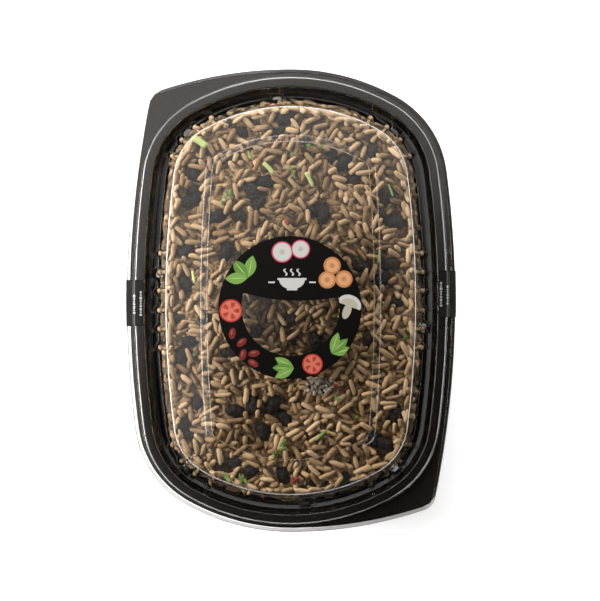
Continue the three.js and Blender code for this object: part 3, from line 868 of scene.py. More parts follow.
class Bed:
    """A height map of what has been laid on a bed. Each piece laid on it rests on what is already there."""

    CELL = 0.5
    SOFTNESS = 0.88

    def __init__(self, random, x, y, top, ceiling):
        self.random = random
        self.x, self.y = x, y
        self.top, self.ceiling = top, ceiling
        self.owner = np.full(top.shape, -1)
        self.open = np.argwhere(ceiling > top + 1.2)
        self.count = 0

    def _sample(self, field, x, y):
        column = np.clip(((x - self.x[0]) / self.CELL + 0.5).astype(int), 0, len(self.x) - 1)
        row = np.clip(((y - self.y[0]) / self.CELL + 0.5).astype(int), 0, len(self.y) - 1)
        return field[row, column]

    def rest(self, x, y, yaw, length, width, height, steepest=0.6, strict=True):
        """The height and slope at which a piece comes to rest, or None where there is no room over it."""
        width, height = width * self.SOFTNESS, height * self.SOFTNESS
        share = np.array([-0.92, -0.62, -0.3, 0.0, 0.3, 0.62, 0.92])
        along = (share * length / 2)[:, None]
        across = (np.array([-0.55, 0.0, 0.55]) * width / 2)[None, :]
        px = x + along * math.cos(yaw) - across * math.sin(yaw)
        py = y + along * math.sin(yaw) + across * math.cos(yaw)
        belly = height / 2 * np.sqrt(np.clip(1 - np.abs(share) ** 3, 0, 1))[:, None] * np.array([0.83, 1.0, 0.83])
        need = (self._sample(self.top, px, py) + belly).max(axis=1)
        t = along[:, 0]
        left, right = need[:3][:, None], need[4:][None, :]
        t_left, t_right = t[:3][:, None], t[4:][None, :]
        centre = (left * t_right - right * t_left) / (t_right - t_left)
        pick_left, pick_right = np.unravel_index(np.argmax(centre), centre.shape)
        slope = (need[4 + pick_right] - need[pick_left]) / (t[4 + pick_right] - t[pick_left])
        slope = float(np.clip(slope, -steepest, steepest))
        z = float((need - slope * t).max())
        if strict:
            room = self._sample(self.ceiling, px, py) - (z + slope * along + belly)
            if room.min() < 0:
                return None
        return z, slope

    def settle(self, x, y, yaw, z, slope, length, width, height):
        """Raises the map to the top of a piece that has come to rest."""
        width, height = width * self.SOFTNESS, height * self.SOFTNESS
        reach = length / 2 + 1
        c0, c1 = np.searchsorted(self.x, [x - reach, x + reach])
        r0, r1 = np.searchsorted(self.y, [y - reach, y + reach])
        dx = self.x[c0:c1][None, :] - x
        dy = self.y[r0:r1][:, None] - y
        u = dx * math.cos(yaw) + dy * math.sin(yaw)
        v = -dx * math.sin(yaw) + dy * math.cos(yaw)
        left = 1 - np.abs(u / (length / 2)) ** 3 - (v / (width / 2)) ** 2
        top = z + slope * u + height / 2 * np.sqrt(np.clip(left, 0, 1))
        area = self.top[r0:r1, c0:c1]
        over = (left > 0) & (top > area)
        area[over] = top[over]
        self.owner[r0:r1, c0:c1][over] = self.count
        self.count += 1

    def roomy_spot(self, tries):
        """Of a few random places, the one with the most room under the lid."""
        rows, columns = self.open[self.random.integers(len(self.open), size=tries)].T
        best = int(np.argmax(self.ceiling[rows, columns] - self.top[rows, columns]))
        jitter = (self.random.random(2) - 0.5) * self.CELL
        return self.x[columns[best]] + jitter[0], self.y[rows[best]] + jitter[1]

    def seen(self, first, laid, cells=4):
        """Those of the pieces laid since the first that show from above."""
        shown, sizes = np.unique(self.owner, return_counts=True)
        sizes = dict(zip(shown.tolist(), sizes.tolist()))
        return [piece for index, piece in enumerate(laid) if sizes.get(first + index, 0) >= cells]

    def lay_on(self, x, y, yaw, length, width, height, sink=0.0):
        """A piece that lies on top of what is there, and under the lid."""
        z, slope = self.rest(x, y, yaw, length, width, height, strict=False)
        roof = float(self._sample(self.roof, np.array(x), np.array(y)))
        z = min(z - sink, roof - height * 1.3)
        self.settle(x, y, yaw, z, slope, length, width, height)
        return x, y, z, yaw, slope, length, width, height

    def fill(self, most, patience, tries, make_grain):
        """Lays grains where there is most room until hardly any find a place."""
        laid, refused = [], 0
        while len(laid) < most and refused < patience:
            x, y = self.roomy_spot(tries)
            yaw, length, width, height = make_grain(x, y)
            found = self.rest(x, y, yaw, length, width, height)
            if found is None:
                refused += 1
                continue
            refused = max(0, refused - 2)
            z, slope = found
            self.settle(x, y, yaw, z, slope, length, width, height)
            laid.append((x, y, z, yaw, slope, length, width, height))
        return laid

    def wedge(self, depth, make_grain):
        """Pushes grains into every gap that is still deeper than this."""
        laid = []
        for row, column in self.random.permutation(np.argwhere(self.ceiling > 0)):
            floor = self.ceiling[row, column] - depth
            if self.top[row, column] > floor:
                continue
            x, y = float(self.x[column]), float(self.y[row])
            yaw, length, width, height = make_grain(x, y)
            slope = (self.random.random() - 0.5) * 0.6
            z = floor - height * 0.3
            self.settle(x, y, yaw, z, slope, length, width, height)
            laid.append((x, y, z, yaw, slope, length, width, height))
        return laid


class Heap(Bed):
    """The heap under the lid, seen from above."""

    def __init__(self, seed):
        x, y = np.arange(-72, 72, self.CELL), np.arange(-106, 106, self.CELL)
        grid_x, grid_y = np.meshgrid(x, y)
        inset = inset_of(grid_x, grid_y)
        mound = mound_z(grid_x, grid_y)
        down, across = np.gradient(inset)
        foot = foot_inset(down**2 / (down**2 + across**2 + 1e-9)) + 0.6
        lid_under = 28.6 + 17.8 * np.clip((inset - foot) / (21.6 - foot), 0, 1) + np.interp(inset, [21.6, 23.8, 39.6], [0, 1.6, 3.2])
        waves = sum(
            np.sin(grid_x / a + p) * np.sin(grid_y / b + q)
            for a, b, p, q in ((9.0, 11.0, 0.3, 1.1), (5.2, 6.1, 2.0, 0.4), (15.0, 19.0, 4.0, 2.6))
        )
        ceiling = np.minimum(lid_under - 0.3, mound + 1.2 + 0.5 * waves)
        ceiling[inset < 20.4] = -100
        under_panel = (np.abs(grid_x) < 38) & (np.abs(grid_y) < 70)
        self.roof = np.where(under_panel, PANEL_Z - LID_WALL - 0.4, lid_under - 0.3)
        top = np.minimum(np.interp(inset, CORE_INSETS, CORE_HEIGHTS), mound - 4.6)
        super().__init__(np.random.default_rng(seed), x, y, top, ceiling)


class DomeWall(Bed):
    """The inside of the dome's wall, rolled out flat: along the wall, up it, and in from it."""

    FOOT_GAP, FOOT_Z = 0.7, 30.8
    HEAD = (22.0, 46.0)
    OVERLAP = 4.0

    def __init__(self, seed):
        self.stations = Stations(coarse=0.5)
        middle = self.stations.rim - self.stations.out * 19.0
        step = np.linalg.norm(np.roll(middle, -1, axis=0) - middle, axis=1)
        self.marks = np.concatenate([[0.0], np.cumsum(step)])
        self.height = math.hypot(self.HEAD[0] - DOME_FOOT_SIDE - self.FOOT_GAP, self.HEAD[1] - self.FOOT_Z)
        x = np.arange(-self.OVERLAP, self.marks[-1] + self.OVERLAP, self.CELL)
        y = np.arange(0.0, self.height, self.CELL)
        shape = (len(y), len(x))
        super().__init__(np.random.default_rng(seed), x, y, np.zeros(shape), np.full(shape, 4.4))

    def world(self, piece):
        """A grain's place and its three axes, from its place in the rolled-out bed."""
        s, t, depth, yaw, slope, length, width, height = piece
        index = int(np.searchsorted(self.marks, s % self.marks[-1], side="right")) - 1
        share = (s % self.marks[-1] - self.marks[index]) / (self.marks[index + 1] - self.marks[index])
        after = (index + 1) % self.stations.count
        rim = self.stations.rim[index] * (1 - share) + self.stations.rim[after] * share
        out = self.stations.out[index] * (1 - share) + self.stations.out[after] * share
        out = np.array([*(out / np.linalg.norm(out)), 0.0])
        foot = np.array([self.stations.foot[index] + self.FOOT_GAP, self.FOOT_Z])
        rise = np.array(self.HEAD) - foot
        lean = rise / np.linalg.norm(rise)
        up = -out * lean[0] + np.array([0.0, 0.0, lean[1]])
        inward = -out * lean[1] - np.array([0.0, 0.0, lean[0]])
        along = np.cross(up, inward)
        inset, z = foot + rise * t / self.height
        centre = np.array([*rim, 0.0]) - out * inset + np.array([0.0, 0.0, z]) + inward * depth
        pitch = math.atan(slope)
        flat = along * math.cos(yaw) + up * math.sin(yaw)
        axis = flat * math.cos(pitch) + inward * math.sin(pitch)
        normal = inward * math.cos(pitch) - flat * math.sin(pitch)
        return centre, np.stack([axis, np.cross(normal, axis), normal], axis=1), (length, width, height)

    def in_ribs(self):
        """Two grains that stand one over the other in each rib."""
        rib = self.stations.rib
        middles = np.flatnonzero((rib <= np.roll(rib, 1)) & (rib < np.roll(rib, -1)) & (rib < 0.6))
        laid = []
        for mark in self.marks[middles]:
            for up, depth in ((4.2, -0.8), (11.8, -0.1)):
                length = 7.0 + 0.8 * self.random.random()
                laid.append((mark, up, depth, math.pi / 2 + self.random.normal() * 0.04, 0.0, length, 2.4, 2.2))
        return laid


# The core's outline: insets from the rim and the height there.
CORE_INSETS = (12.0, 18.4, 20.8, 25.0)
CORE_HEIGHTS = (19.0, 20.0, 31.0, 43.4)

# Where the beans show in the heap: across, up, and how deep each one is sunk.
BEAN_PLACES = (
    (-49, 63, 0.6), (-50, 50, 0.4), (-47, 55, 1.6), (-19, 54, 0.2), (-12, 59, 0.6), (-16, 49, 1.0), (-37, 42, 0.4),
    (-26, 42, 0.5), (-31, 89, 1.2), (-26, 85, 1.9), (-3, 91, 0.8), (-6, 84, 1.5), (26, 69, 0.5), (20, 71, 1.3),
    (40, 74, 0.9), (16, 43, 0.0), (11, 45, 1.5), (48, 52, 0.7), (52, 39, 0.6), (46, 42, 1.5), (8, 76, 1.5),
    (-53, 25, 0.8), (-32, 24, 0.4), (-26, 19, 1.3), (-52, 8, 0.7), (-56, -8, 1.0), (-43, -9, 1.6), (-55, -27, 0.9),
    (-31, -26, 1.0), (-50, -20, 1.2), (36, 17, 0.9), (49, 18, 0.5), (45, 11, 1.4), (53, -1, 1.5), (38, -19, 0.8),
    (-47, -50, 1.2), (-54, -62, 0.9), (-50, -67, 1.6), (-28, -55, 0.0), (-19, -52, 0.4), (-9, -52, 0.3),
    (-14, -65, 0.0), (-3, -59, 1.1), (-20, -85, 0.5), (-28, -80, 1.6), (-4, -87, 0.8), (52, -57, 0.8), (47, -72, 0.4),
    (41, -69, 1.2), (8, -94, 1.3), (18, -93, 1.0), (27, -89, 1.2), (-36, -84, 1.8), (30, 60, 1.9), (-8, 20, 1.2),
    (12, -20, 0.8), (0, -10, 1.6), (-18, -16, 1.0),
)


def lay_beans(heap):
    laid = []
    for x, y, sunk in BEAN_PLACES:
        size = 0.88 + 0.24 * heap.random.random()
        length, width, height = 10.8 * size, 7.6 * size, 6.0 * size
        yaw = heap.random.random() * math.pi
        z = float(mound_z(x, y)) + 1.1 - sunk - height / 2
        slope = (heap.random.random() - 0.5) * 0.5
        inset = float(inset_of(np.array(x, float), np.array(y, float)))
        z = min(z, float(np.interp(inset, [16.4, 21.2, 26.0], [26, 38, 46])))
        heap.settle(x, y, yaw, z, slope, length, width, height)
        laid.append((x, y, z, yaw, slope, length, width, height))
        if sunk < 1.45:
            near = np.hypot(heap.x[None, :] - x, heap.y[:, None] - y) < width * 0.46
            heap.ceiling[near] = np.minimum(heap.ceiling[near], z + height / 2 + 0.5)
    return laid


def grain_size(random, broken_share=0.14):
    length = 5.2 if random.random() < broken_share else 8.1
    width = 2.9 * (0.84 + 0.26 * random.random())
    return length * (0.84 + 0.32 * random.random()), width, width * (0.82 + 0.12 * random.random())


def lay_rice(heap):
    """The heap's grains and those against the dome's wall, as places, axes and sizes."""

    def loose(x, y):
        yaw = heap.random.random() * math.pi
        if inset_of(np.array(x), np.array(y)) < 23:
            yaw = math.atan2(-x / 75.0**2, y / 108.0**2) + heap.random.normal() * 0.5
        return (yaw, *grain_size(heap.random))

    first = heap.count
    laid = heap.fill(9000, 3500, 8, loose)
    laid += heap.wedge(GAP_DEPTH, loose)
    seen = heap.seen(first, laid)
    wall = DomeWall(seed=8)
    against = wall.fill(1100, 400, 12, lambda s, t: (wall.random.normal() * 0.75, *grain_size(wall.random)))
    against = [piece for piece in against if piece[2] < 3.6] + wall.in_ribs()
    return [upright(piece) for piece in seen], [wall.world(piece) for piece in against]


def upright(piece):
    """The place, axes and size of a piece that lies on the heap."""
    x, y, z, yaw, slope, length, width, height = piece
    pitch = math.atan(slope)
    flat = np.array([math.cos(yaw), math.sin(yaw), 0.0])
    up = np.array([0.0, 0.0, 1.0])
    axis = flat * math.cos(pitch) + up * math.sin(pitch)
    normal = up * math.cos(pitch) - flat * math.sin(pitch)
    return np.array([x, y, z]), np.stack([axis, np.cross(normal, axis), normal], axis=1), (length, width, height)


def grain_shape(around=5, places=(-0.94, -0.62, 0.62, 0.94), blunt=5.0):
    """A long grain: a blunt spindle, as points from -1 to 1 and faces."""
    points = [(-1.0, 0.0, 0.0)]
    for k, t in enumerate(places):
        radius = (1 - abs(t) ** blunt) ** 0.5
        for i in range(around):
            angle = 2 * math.pi * (i + 0.5 * (k % 2)) / around
            points.append((t, radius * math.cos(angle), radius * math.sin(angle)))
    points.append((1.0, 0.0, 0.0))
    rings = len(places)
    faces = []
    ring = lambda k, i: 1 + k * around + i % around
    for i in range(around):
        faces.append((0, ring(0, i + 1), ring(0, i)))
        faces.append((len(points) - 1, ring(rings - 1, i), ring(rings - 1, i + 1)))
        for k in range(rings - 1):
            if k % 2:
                faces.append((ring(k, i), ring(k, i + 1), ring(k + 1, i + 1)))
                faces.append((ring(k, i), ring(k + 1, i + 1), ring(k + 1, i)))
            else:
                faces.append((ring(k, i), ring(k, i + 1), ring(k + 1, i)))
                faces.append((ring(k, i + 1), ring(k + 1, i + 1), ring(k + 1, i)))
    return np.array(points), np.array(faces)


def strip_shape(stations=7, curl=0.5):
    """A cut blade: a flat bar that tapers a little, curls up at its ends and twists."""
    points, faces = [], []
    for k in range(stations):
        t = 2 * k / (stations - 1) - 1
        half = 1 - 0.25 * abs(t) ** 3
        twist = 0.5 * t
        for across, up in ((-1, -1), (1, -1), (1, 1), (-1, 1)):
            y, z = across * half, up + curl * t * t * 2 + twist * across
            points.append((t, y, z))
    for k in range(stations - 1):
        for i in range(4):
            a, b = 4 * k + i, 4 * k + (i + 1) % 4
            faces += [(a, b + 4, b), (a, a + 4, b + 4)]
    last = 4 * (stations - 1)
    faces += [(0, 1, 2), (0, 2, 3), (last, last + 2, last + 1), (last, last + 3, last + 2)]
    return np.array(points, float), np.array(faces)


def ragged_leaf_shape(around=20, lobes=5):
    """A torn bit of leaf: a thin lobed sheet that waves up and down."""
    points = [(0.0, 0.0, 1.0), (0.0, 0.0, -1.0)]
    for up in (1.0, -1.0):
        for i in range(around):
            angle = 2 * math.pi * i / around
            radius = 0.62 + 0.38 * math.cos(lobes * angle)
            wave = 1.6 * math.sin(2 * angle + 0.7) * radius
            points.append((radius * math.cos(angle), radius * math.sin(angle), up * 0.8 + wave))
    faces = []
    for i in range(around):
        a, b = 2 + i, 2 + (i + 1) % around
        c, d = a + around, b + around
        faces += [(0, a, b), (1, d, c), (a, c, d), (a, d, b)]
    return np.array(points), np.array(faces)


def creased(local, random, depth, pitch):
    """Copies of a shape, each with grooves that run three ways of its own."""
    for _ in range(3):
        way = random.normal(size=(len(local), 1, 3))
        way /= np.linalg.norm(way, axis=2, keepdims=True)
        turn = (local * way).sum(axis=2) * math.pi / pitch + random.random((len(local), 1)) * math.pi
        groove = np.exp(-((np.sin(turn) / 0.5) ** 2))
        local = local * (1 - depth * groove)[:, :, None]
    return local


def scattered(name, shape, laid, random, bend=0.0, rough=0.0, roll=0.3, crease=0.0, painted_light_and_shade=0.0):
    """One mesh of many copies of a shape, each in its own place, turn and size, with a tone of its own that any painted
    light and shade given is added to.
    """
    points, faces = shape
    centre, axes, size = (np.array(part) for part in zip(*laid))
    count = len(laid)
    local = points[None, :, :] * size[:, None, :] / 2
    if bend:
        curve = random.normal(size=(count, 1)) * bend
        local[:, :, 1] += curve * size[:, 1:2] * (points[None, :, 0] ** 2 - 0.3)
    if crease:
        local = creased(local, random, crease, 3.0)
    if rough:
        wobble = random.normal(size=(count, len(points), 3)) * rough
        local += wobble * size[:, 2][:, None, None] / 2
    roll = random.normal(size=count) * roll
    c, s = np.cos(roll)[:, None], np.sin(roll)[:, None]
    y, z = local[:, :, 1], local[:, :, 2]
    local = np.stack([local[:, :, 0], y * c - z * s, y * s + z * c], axis=2)
    world = np.einsum("nij,nkj->nki", axes, local) + centre[:, None, :]
    return joined_mesh(name, world * MM, faces, random.random(count) + painted_light_and_shade)


def joined_mesh(name, world, faces, tones):
    count, size = world.shape[:2]
    all_faces = (faces[None, :, :] + (np.arange(count) * size)[:, None, None]).reshape(-1, 3)
    mesh = bpy.data.meshes.new(name)
    mesh.vertices.add(count * size)
    mesh.vertices.foreach_set("co", world.reshape(-1).astype(np.float32))
    mesh.loops.add(len(all_faces) * 3)
    mesh.loops.foreach_set("vertex_index", all_faces.reshape(-1).astype(np.int32))
    mesh.polygons.add(len(all_faces))
    mesh.polygons.foreach_set("loop_start", np.arange(0, len(all_faces) * 3, 3, dtype=np.int32))
    mesh.polygons.foreach_set("use_smooth", np.ones(len(all_faces), dtype=bool))
    tone = mesh.attributes.new("tone", "FLOAT", "POINT")
    tone.data.foreach_set("value", np.repeat(tones, size).astype(np.float32))
    mesh.update()
    mesh.validate()
    piece = bpy.data.objects.new(name, mesh)
    bpy.context.scene.collection.objects.link(piece)
    return piece


def ball_shape(subdivisions):
    """A round shape of half size 1, as points and faces."""
    clear_selection()
    bpy.ops.mesh.primitive_ico_sphere_add(subdivisions=subdivisions, radius=1.0)
    ball = bpy.context.object
    points = np.array([vertex.co[:] for vertex in ball.data.vertices])
    faces = np.array([face.vertices[:] for face in ball.data.polygons])
    bpy.data.objects.remove(ball)
    return points, faces


def bean_shape():
    """A kidney bean: a round shape with one side drawn in along its length."""
    points, faces = ball_shape(4)
    notch = 0.20 * np.exp(-((points[:, 0] / 0.34) ** 2)) * np.clip(points[:, 1], 0, None)
    points = points.copy()
    points[:, 1] += 0.16 * points[:, 0] ** 2 - 0.05 - notch
    return points, faces


def make_core():
    """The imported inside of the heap, which shows only between the grains."""
    stations = Stations(coarse=3.0)
    profile = softened(
        [
            (40.0, 2.0, 0),
            (22.4, 2.0, 3.0),
            (17.4, 6.8, 3.0),
            (13.4, CORE_HEIGHTS[0], 1.0),
            (CORE_INSETS[1], CORE_HEIGHTS[1], 1.0),
            (CORE_INSETS[2], CORE_HEIGHTS[2], 1.0),
            (CORE_INSETS[3], 40.4, 2.0),
            (30.0, 41.0, 0),
        ],
        steps=3,
    )
    rings = [stations.ring(inset, z) for inset, z in profile]
    rings += [stations.shrunk_panel_ring(share, 0, z) for share, z in ((1.0, 41.6), (0.6, 42.4), (0.2, 42.7))]
    core = drawn_sheet("heap_core", rings, closed_start=True)
    smooth(core, 30)
    return finished(core, painted_shade_core_finish(), "food", "rice_and_beans")


# Cut blades on the heap: across, up, turn in degrees, length and width.
PALE_BLADES = ((-45.0, 78.6, -35, 8.4, 3.2), (-10.9, 65.6, -46, 7.2, 1.9), (9.4, 59.9, -62, 8.2, 2.1), (-48.2, 11.6, -80, 6.0, 1.4))
GREEN_BLADES = (
    (0.8, 63.6, -64, 8.2, 1.0), (49.6, 54.6, -68, 6.4, 1.1), (43.6, 21.6, 84, 6.4, 1.2), (-31.9, -87.6, -47, 6.6, 1.9),
    (15.1, -66.6, 41, 7.0, 1.6), (-20.4, 71.8, -70, 4.6, 1.3),
)
# Torn leaf bits and pepper bits: across, up and size.
LEAF_BITS = (
    (-30.2, 53.4, 4.8), (-32.4, 51.0, 4.4), (-34.0, 48.6, 3.2), (22.8, -48.4, 3.6), (-3.6, -69.9, 4.0), (-4.0, -72.8, 5.4),
    (-7.2, -76.0, 5.0), (-25.2, -88.6, 6.0), (-22.6, -90.2, 5.0), (9.0, 76.6, 3.4), (14.4, 76.0, 3.4), (0.6, 72.6, 2.8),
    (58.6, -13.4, 3.6), (57.0, -18.0, 4.2), (-62.0, -59.0, 2.8), (-9.6, 31.4, 2.4), (33.0, -58.0, 2.6), (-48.0, -27.0, 2.4),
)
RED_BITS = (
    (-2.2, 39.4, 2.8), (-1.4, 37.9, 2.0), (22.2, -42.2, 3.0), (24.0, -40.6, 2.2), (1.6, -90.0, 3.4), (3.0, -88.4, 2.4),
    (-5.8, 79.0, 1.8), (-46.4, 16.2, 1.6), (26.6, -44.0, 1.6),
)


def lay_blades(heap, places):
    return [heap.lay_on(x, y, math.radians(turn), length, width, 0.7, sink=-0.7) for x, y, turn, length, width in places]


def lay_bits(heap, places, thickness):
    laid = []
    for x, y, size in places:
        yaw = heap.random.random() * 2 * math.pi
        laid.append(heap.lay_on(x, y, yaw, size, size * (0.7 + 0.3 * heap.random.random()), thickness, sink=-0.4))
    return laid


def lay_crumbs(heap, x, y, spread, count):
    """Crumbs strewn over a patch, one layer deep."""
    laid = []
    for _ in range(count):
        dx, dy = heap.random.normal(size=2) * spread
        size = 0.9 + 1.3 * heap.random.random()
        z, slope = heap.rest(x + dx, y + dy, 0.0, size, size, size, strict=False)
        laid.append((x + dx, y + dy, z - size * 0.3, 0.0, slope, size, size, size))
    return laid


def make_garnish(heap):
    blade = strip_shape()
    bright = garnish_finish("chive_blades_pale", (0.230, 0.270, 0.090), (0.390, 0.420, 0.180))
    green = garnish_finish("chive_blades_green", (0.060, 0.092, 0.022), (0.170, 0.220, 0.070))
    leaf = garnish_finish("parsley_green", (0.055, 0.100, 0.018), (0.150, 0.235, 0.056))
    red = garnish_finish("sweet_pepper_red", (0.100, 0.016, 0.011), (0.200, 0.042, 0.028))
    onion = garnish_finish("onion_white", (0.085, 0.070, 0.054), (0.400, 0.365, 0.310))
    crumb = garnish_finish("egg_crumb_tan", (0.170, 0.120, 0.072), (0.300, 0.235, 0.155))
    for name, shape, laid, finish, rough in (
        ("chive_blades_pale", blade, lay_blades(heap, PALE_BLADES), bright, 0.0),
        ("chive_blades_green", blade, lay_blades(heap, GREEN_BLADES), green, 0.0),
        ("parsley_bits", ragged_leaf_shape(), lay_bits(heap, LEAF_BITS, 0.35), leaf, 0.1),
        ("pepper_bits", ball_shape(2), lay_bits(heap, RED_BITS, 1.0), red, 0.12),
        ("onion_bits", ball_shape(1), lay_crumbs(heap, 11.8, -41.8, 2.1, 44) + lay_crumbs(heap, 17.4, -42.4, 2.1, 44), onion, 0.16),
        ("tan_crumbs", ball_shape(1), lay_crumbs(heap, -47.5, -80.6, 2.2, 34), crumb, 0.12),
    ):
        laid = [upright(piece) for piece in laid]
        finished(scattered(name, shape, laid, heap.random, rough=rough), finish, "food")
    orange = garnish_finish("carrot_orange", (0.165, 0.078, 0.034), (0.240, 0.125, 0.060))
    grain = [heap.lay_on(-16.8, 67.2, 1.2, 7.2, 2.6, 2.2, sink=0.3), heap.lay_on(8.4, -71.0, 2.1, 3.6, 2.0, 1.8, sink=0.3)]
    grain = [upright(piece) for piece in grain]
    finished(scattered("carrot_bits", grain_shape(), grain, heap.random), orange, "food")


def make_food():
    heap = Heap(seed=5)
    make_core()
    beans = [upright(piece) for piece in lay_beans(heap)]
    on_heap, at_wall = lay_rice(heap)
    # Painted light and shade in the grains' tone: deep grains are coloured darker, and grains against the wall lighter,
    # more so towards the top end.
    depth = np.array([float(mound_z(x, y)) - z for (x, y, z), _, _ in on_heap])
    up = np.array([place[1] for place, _, _ in at_wall])
    # Painted shade: the deeper a grain lies under the heap's top, the darker its tone.
    shade = -DEEP_GRAIN_SHADE * np.clip((depth - 1.2) / 3.0, 0, 1)
    painted_light_and_shade = np.concatenate([shade, WALL_GRAIN_PAINTED_LIGHT * np.clip(0.5 + up / 120, 0, 1)])
    grains = scattered("rice_grains", grain_shape(), on_heap + at_wall, heap.random, bend=0.10, painted_light_and_shade=painted_light_and_shade)
    finished(grains, rice_finish(), "food")
    finished(scattered("black_beans", bean_shape(), beans, heap.random, rough=0.025, crease=0.09), bean_skin(), "food")
    make_garnish(heap)


# ------------------------------------------------------------------ label and seals


def ray_to_circle(origin, way, centre, radius, far=True):
    """How far along a ray from the origin it meets a circle, or infinity where it doesn't."""
    across = np.array(origin) - centre
    half = across @ way
    inside = half**2 - (across @ across - radius**2)
    if inside < 0:
        return math.inf
    reach = -half + (math.sqrt(inside) if far else -math.sqrt(inside))
    return reach if reach > 0 else math.inf


def make_label():
    """A clear film with black print on it. The print leaves a window that is cut off by an arc at its top."""
    clear_selection()
    x, y = LABEL_CENTRE
    at = (x * MM, y * MM, LABEL_Z * MM)
    bpy.ops.mesh.primitive_circle_add(vertices=160, radius=(LABEL_RADIUS - 0.15) * MM, fill_type="NGON", location=at)
    film = bpy.context.object
    film.name = film.data.name = "label_film"
    bpy.ops.object.transform_apply(location=True, rotation=True, scale=True)
    apply_modifier(film, "SOLIDIFY", thickness=0.06 * MM, offset=1)
    finished(film, clear_sheet("clear_label_film", (0.97, 0.965, 0.955), 0.06), "lid_plastic")

    eye = (0.5, -9.0)
    outer, window = [], []
    for k in range(240):
        turn = 2 * math.pi * k / 240
        way = np.array([math.cos(turn), math.sin(turn)])
        rim = ray_to_circle(eye, way, (0.0, 0.0), LABEL_RADIUS)
        hole = min(
            ray_to_circle(eye, way, WINDOW_CENTRE, WINDOW_RADIUS),
            ray_to_circle(eye, way, WINDOW_TOP_CENTRE, WINDOW_TOP_RADIUS, far=False),
        )
        outer.append(np.array(eye) + way * rim + LABEL_CENTRE)
        window.append(np.array(eye) + way * hole + LABEL_CENTRE)
    base = LABEL_Z + 0.07
    sheet = drawn_sheet("label_print", [level(np.array(ring), base) for ring in (outer, window)], closed_end=False)
    face_up(sheet)
    apply_modifier(sheet, "SOLIDIFY", thickness=0.05 * MM, offset=1)
    finished(sheet, label_print(), "label_print", "label")


def make_seals():
    for name, node, middle, sign in (("seal_strip_left", "seal_left", -1.3, -1), ("seal_strip_right", "seal_right", 3.4, 1)):
        profile = softened(
            [(4.0, 32.75, 0), (-0.25, 32.75, 0.2), (-0.25, 34.72, 0.25), (3.3, 34.85, 0.5), (4.3, 37.35, 0.9), (9.0, 37.25, 0)]
        )
        strips = []
        steps = 24
        for k in range(steps + 1):
            y = middle + 23.5 * (k / steps - 0.5)
            edge = 83.5 - 499 + math.sqrt(499**2 - y**2)
            strips.append([Vector((sign * (edge - inset) * MM, y * MM, z * MM)) for inset, z in profile])
        clear_selection()
        bpy.ops.mesh.primitive_grid_add(x_subdivisions=steps, y_subdivisions=len(profile) - 1, size=0.02)
        strip = bpy.context.object
        strip.name = strip.data.name = name
        for index, vertex in enumerate(strip.data.vertices):
            vertex.co = strips[index % (steps + 1)][index // (steps + 1)]
        bpy.ops.object.transform_apply(location=True, rotation=True, scale=True)
        pick(strip)
        bpy.ops.object.mode_set(mode="EDIT")
        bpy.ops.mesh.select_all(action="SELECT")
        bpy.ops.mesh.normals_make_consistent(inside=False)
        bpy.ops.object.mode_set(mode="OBJECT")
        top = max(strip.data.polygons, key=lambda face: face.center.z)
        if top.normal.z < 0:
            strip.data.flip_normals()
        apply_modifier(strip, "SOLIDIFY", thickness=0.12 * MM, offset=1)
        smooth(strip)
        finished(strip, seal_print(sign, middle), "seal_film", node)


# ------------------------------------------------------------------ stage


def make_tent():
    """A white studio tent with a bright band round it. It is dark overhead, where the camera is."""
    world = bpy.data.worlds.new("studio_tent")
    bpy.context.scene.world = world
    world.use_nodes = True
    tent = Nodes(world.node_tree)
    background = world.node_tree.nodes["Background"]
    x, y, z = tent.split(tent.node("ShaderNodeTexCoord", {}, out="Generated"))
    dx, dy = x - 0.14, y + 0.16
    away = (dx * dx + dy * dy).root()
    glow = tent.grey_ramp(
        away,
        (0.08, 0.004),
        (0.19, 0.02),
        (0.24, 0.16),
        (0.29, 0.38),
        (0.36, 0.50),
        (1.00, 0.52),
    )
    band = tent.grey_ramp(z, (0.30, 0.0), (0.38, 1.0), (0.80, 1.0), (0.87, 0.0))
    tilt = (x * x + y * y).root() + 0.01
    side = tent.grey_ramp(x.size() / tilt, (0.88, 0.0), (0.96, 1.0))
    end = tent.grey_ramp(y.size() / tilt, (0.88, 0.0), (0.96, 1.0))
    corner = tent.grey_ramp((x - y) * 0.707 / tilt, (0.93, 0.0), (0.98, 1.0))
    fall = tent.grey_ramp((y - x * 0.5 + 1.0) * 0.5, (0.30, 0.04), (0.52, 1.0))
    ring = 0.8 * fall + side * (4.6 - x * 2.4) + end * (0.9 + y * 0.9) + corner * 5.0
    mirrored = tent.node("ShaderNodeLightPath", {}, out="Is Glossy Ray")
    passed = tent.node("ShaderNodeLightPath", {}, out="Is Transmission Ray")
    tent.feed(background, "Color", (1.0, 0.972, 0.94))
    tent.feed(background, "Strength", glow * fall * (1.1 + (y - x) * 0.18) + band * ring * mirrored * (1.0 - passed))


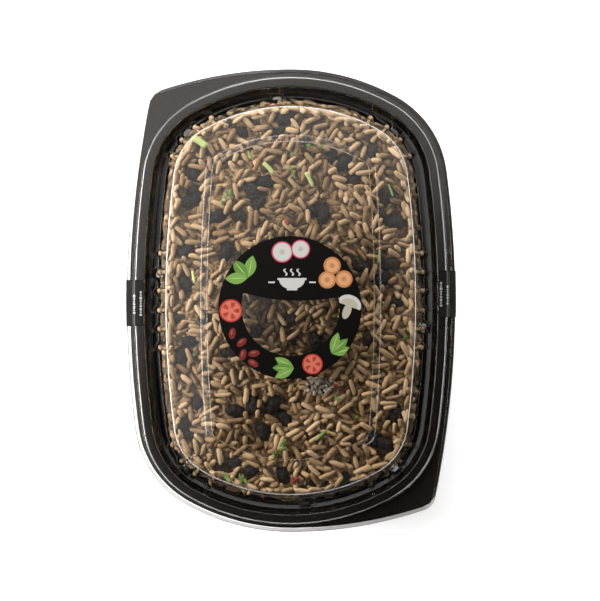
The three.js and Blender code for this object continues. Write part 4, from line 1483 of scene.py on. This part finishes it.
def make_softbox(name, at, target, wide, high, radiance, gleams):
    """A soft lamp. One that doesn't gleam lights the food and leaves no mark of its own on the plastic."""
    light = bpy.data.lights.new(name, "AREA")
    light.shape = "RECTANGLE"
    light.size, light.size_y = wide, high
    light.energy = radiance * math.pi * wide * high
    lamp = bpy.data.objects.new(name, light)
    bpy.context.scene.collection.objects.link(lamp)
    lamp.location = at
    lamp.rotation_euler = (Vector(target) - Vector(at)).to_track_quat("-Z", "Y").to_euler()
    lamp.visible_camera = False
    lamp.visible_glossy = gleams
    lamp.visible_transmission = gleams


def make_lamps():
    """A near key at the upper left, and low lamps that reach the food through the dome's wall."""
    make_softbox("key_softbox", (-0.22, 0.40, 0.34), (0.0, 0.03, 0.04), 0.45, 0.35, 1.3, gleams=True)
    make_softbox("left_softbox", (-0.42, 0.03, 0.22), (-0.07, 0.02, 0.04), 0.30, 0.10, 66.0, gleams=False)
    make_softbox("right_softbox", (0.42, 0.06, 0.20), (0.07, 0.03, 0.04), 0.30, 0.10, 12.0, gleams=False)
    make_softbox("end_softbox", (0.0, 0.50, 0.22), (0.0, 0.10, 0.04), 0.30, 0.10, 50.0, gleams=False)


def make_stage():
    clear_selection()
    bpy.ops.mesh.primitive_plane_add(size=6.0, location=(0, 0, -0.0002))
    floor = bpy.context.object
    floor.name = "pale_floor"
    bpy.ops.object.transform_apply(location=True, rotation=True, scale=True)
    sweep = Finish("pale_floor", Base_Color=(0.92, 0.92, 0.93), Roughness=0.7, Emission_Strength=0.4)
    sweep.set(Emission_Color=(1.0, 1.0, 1.0))
    floor.data.materials.append(sweep.material)
    make_tent()
    make_lamps()

    camera = bpy.data.cameras.new("camera")
    camera.sensor_fit = "HORIZONTAL"
    camera.angle = 2 * math.atan(0.1525 / 0.5)
    viewer = bpy.data.objects.new("camera", camera)
    bpy.context.scene.collection.objects.link(viewer)
    viewer.location = (0.0046, 0.0, 0.534)
    viewer.rotation_euler = (0.0, 0.0, 0.0)
    bpy.context.scene.camera = viewer
    bpy.context.scene.view_settings.view_transform = "Standard"


make_tray()
make_lid()
make_food()
make_label()
make_seals()
make_stage()
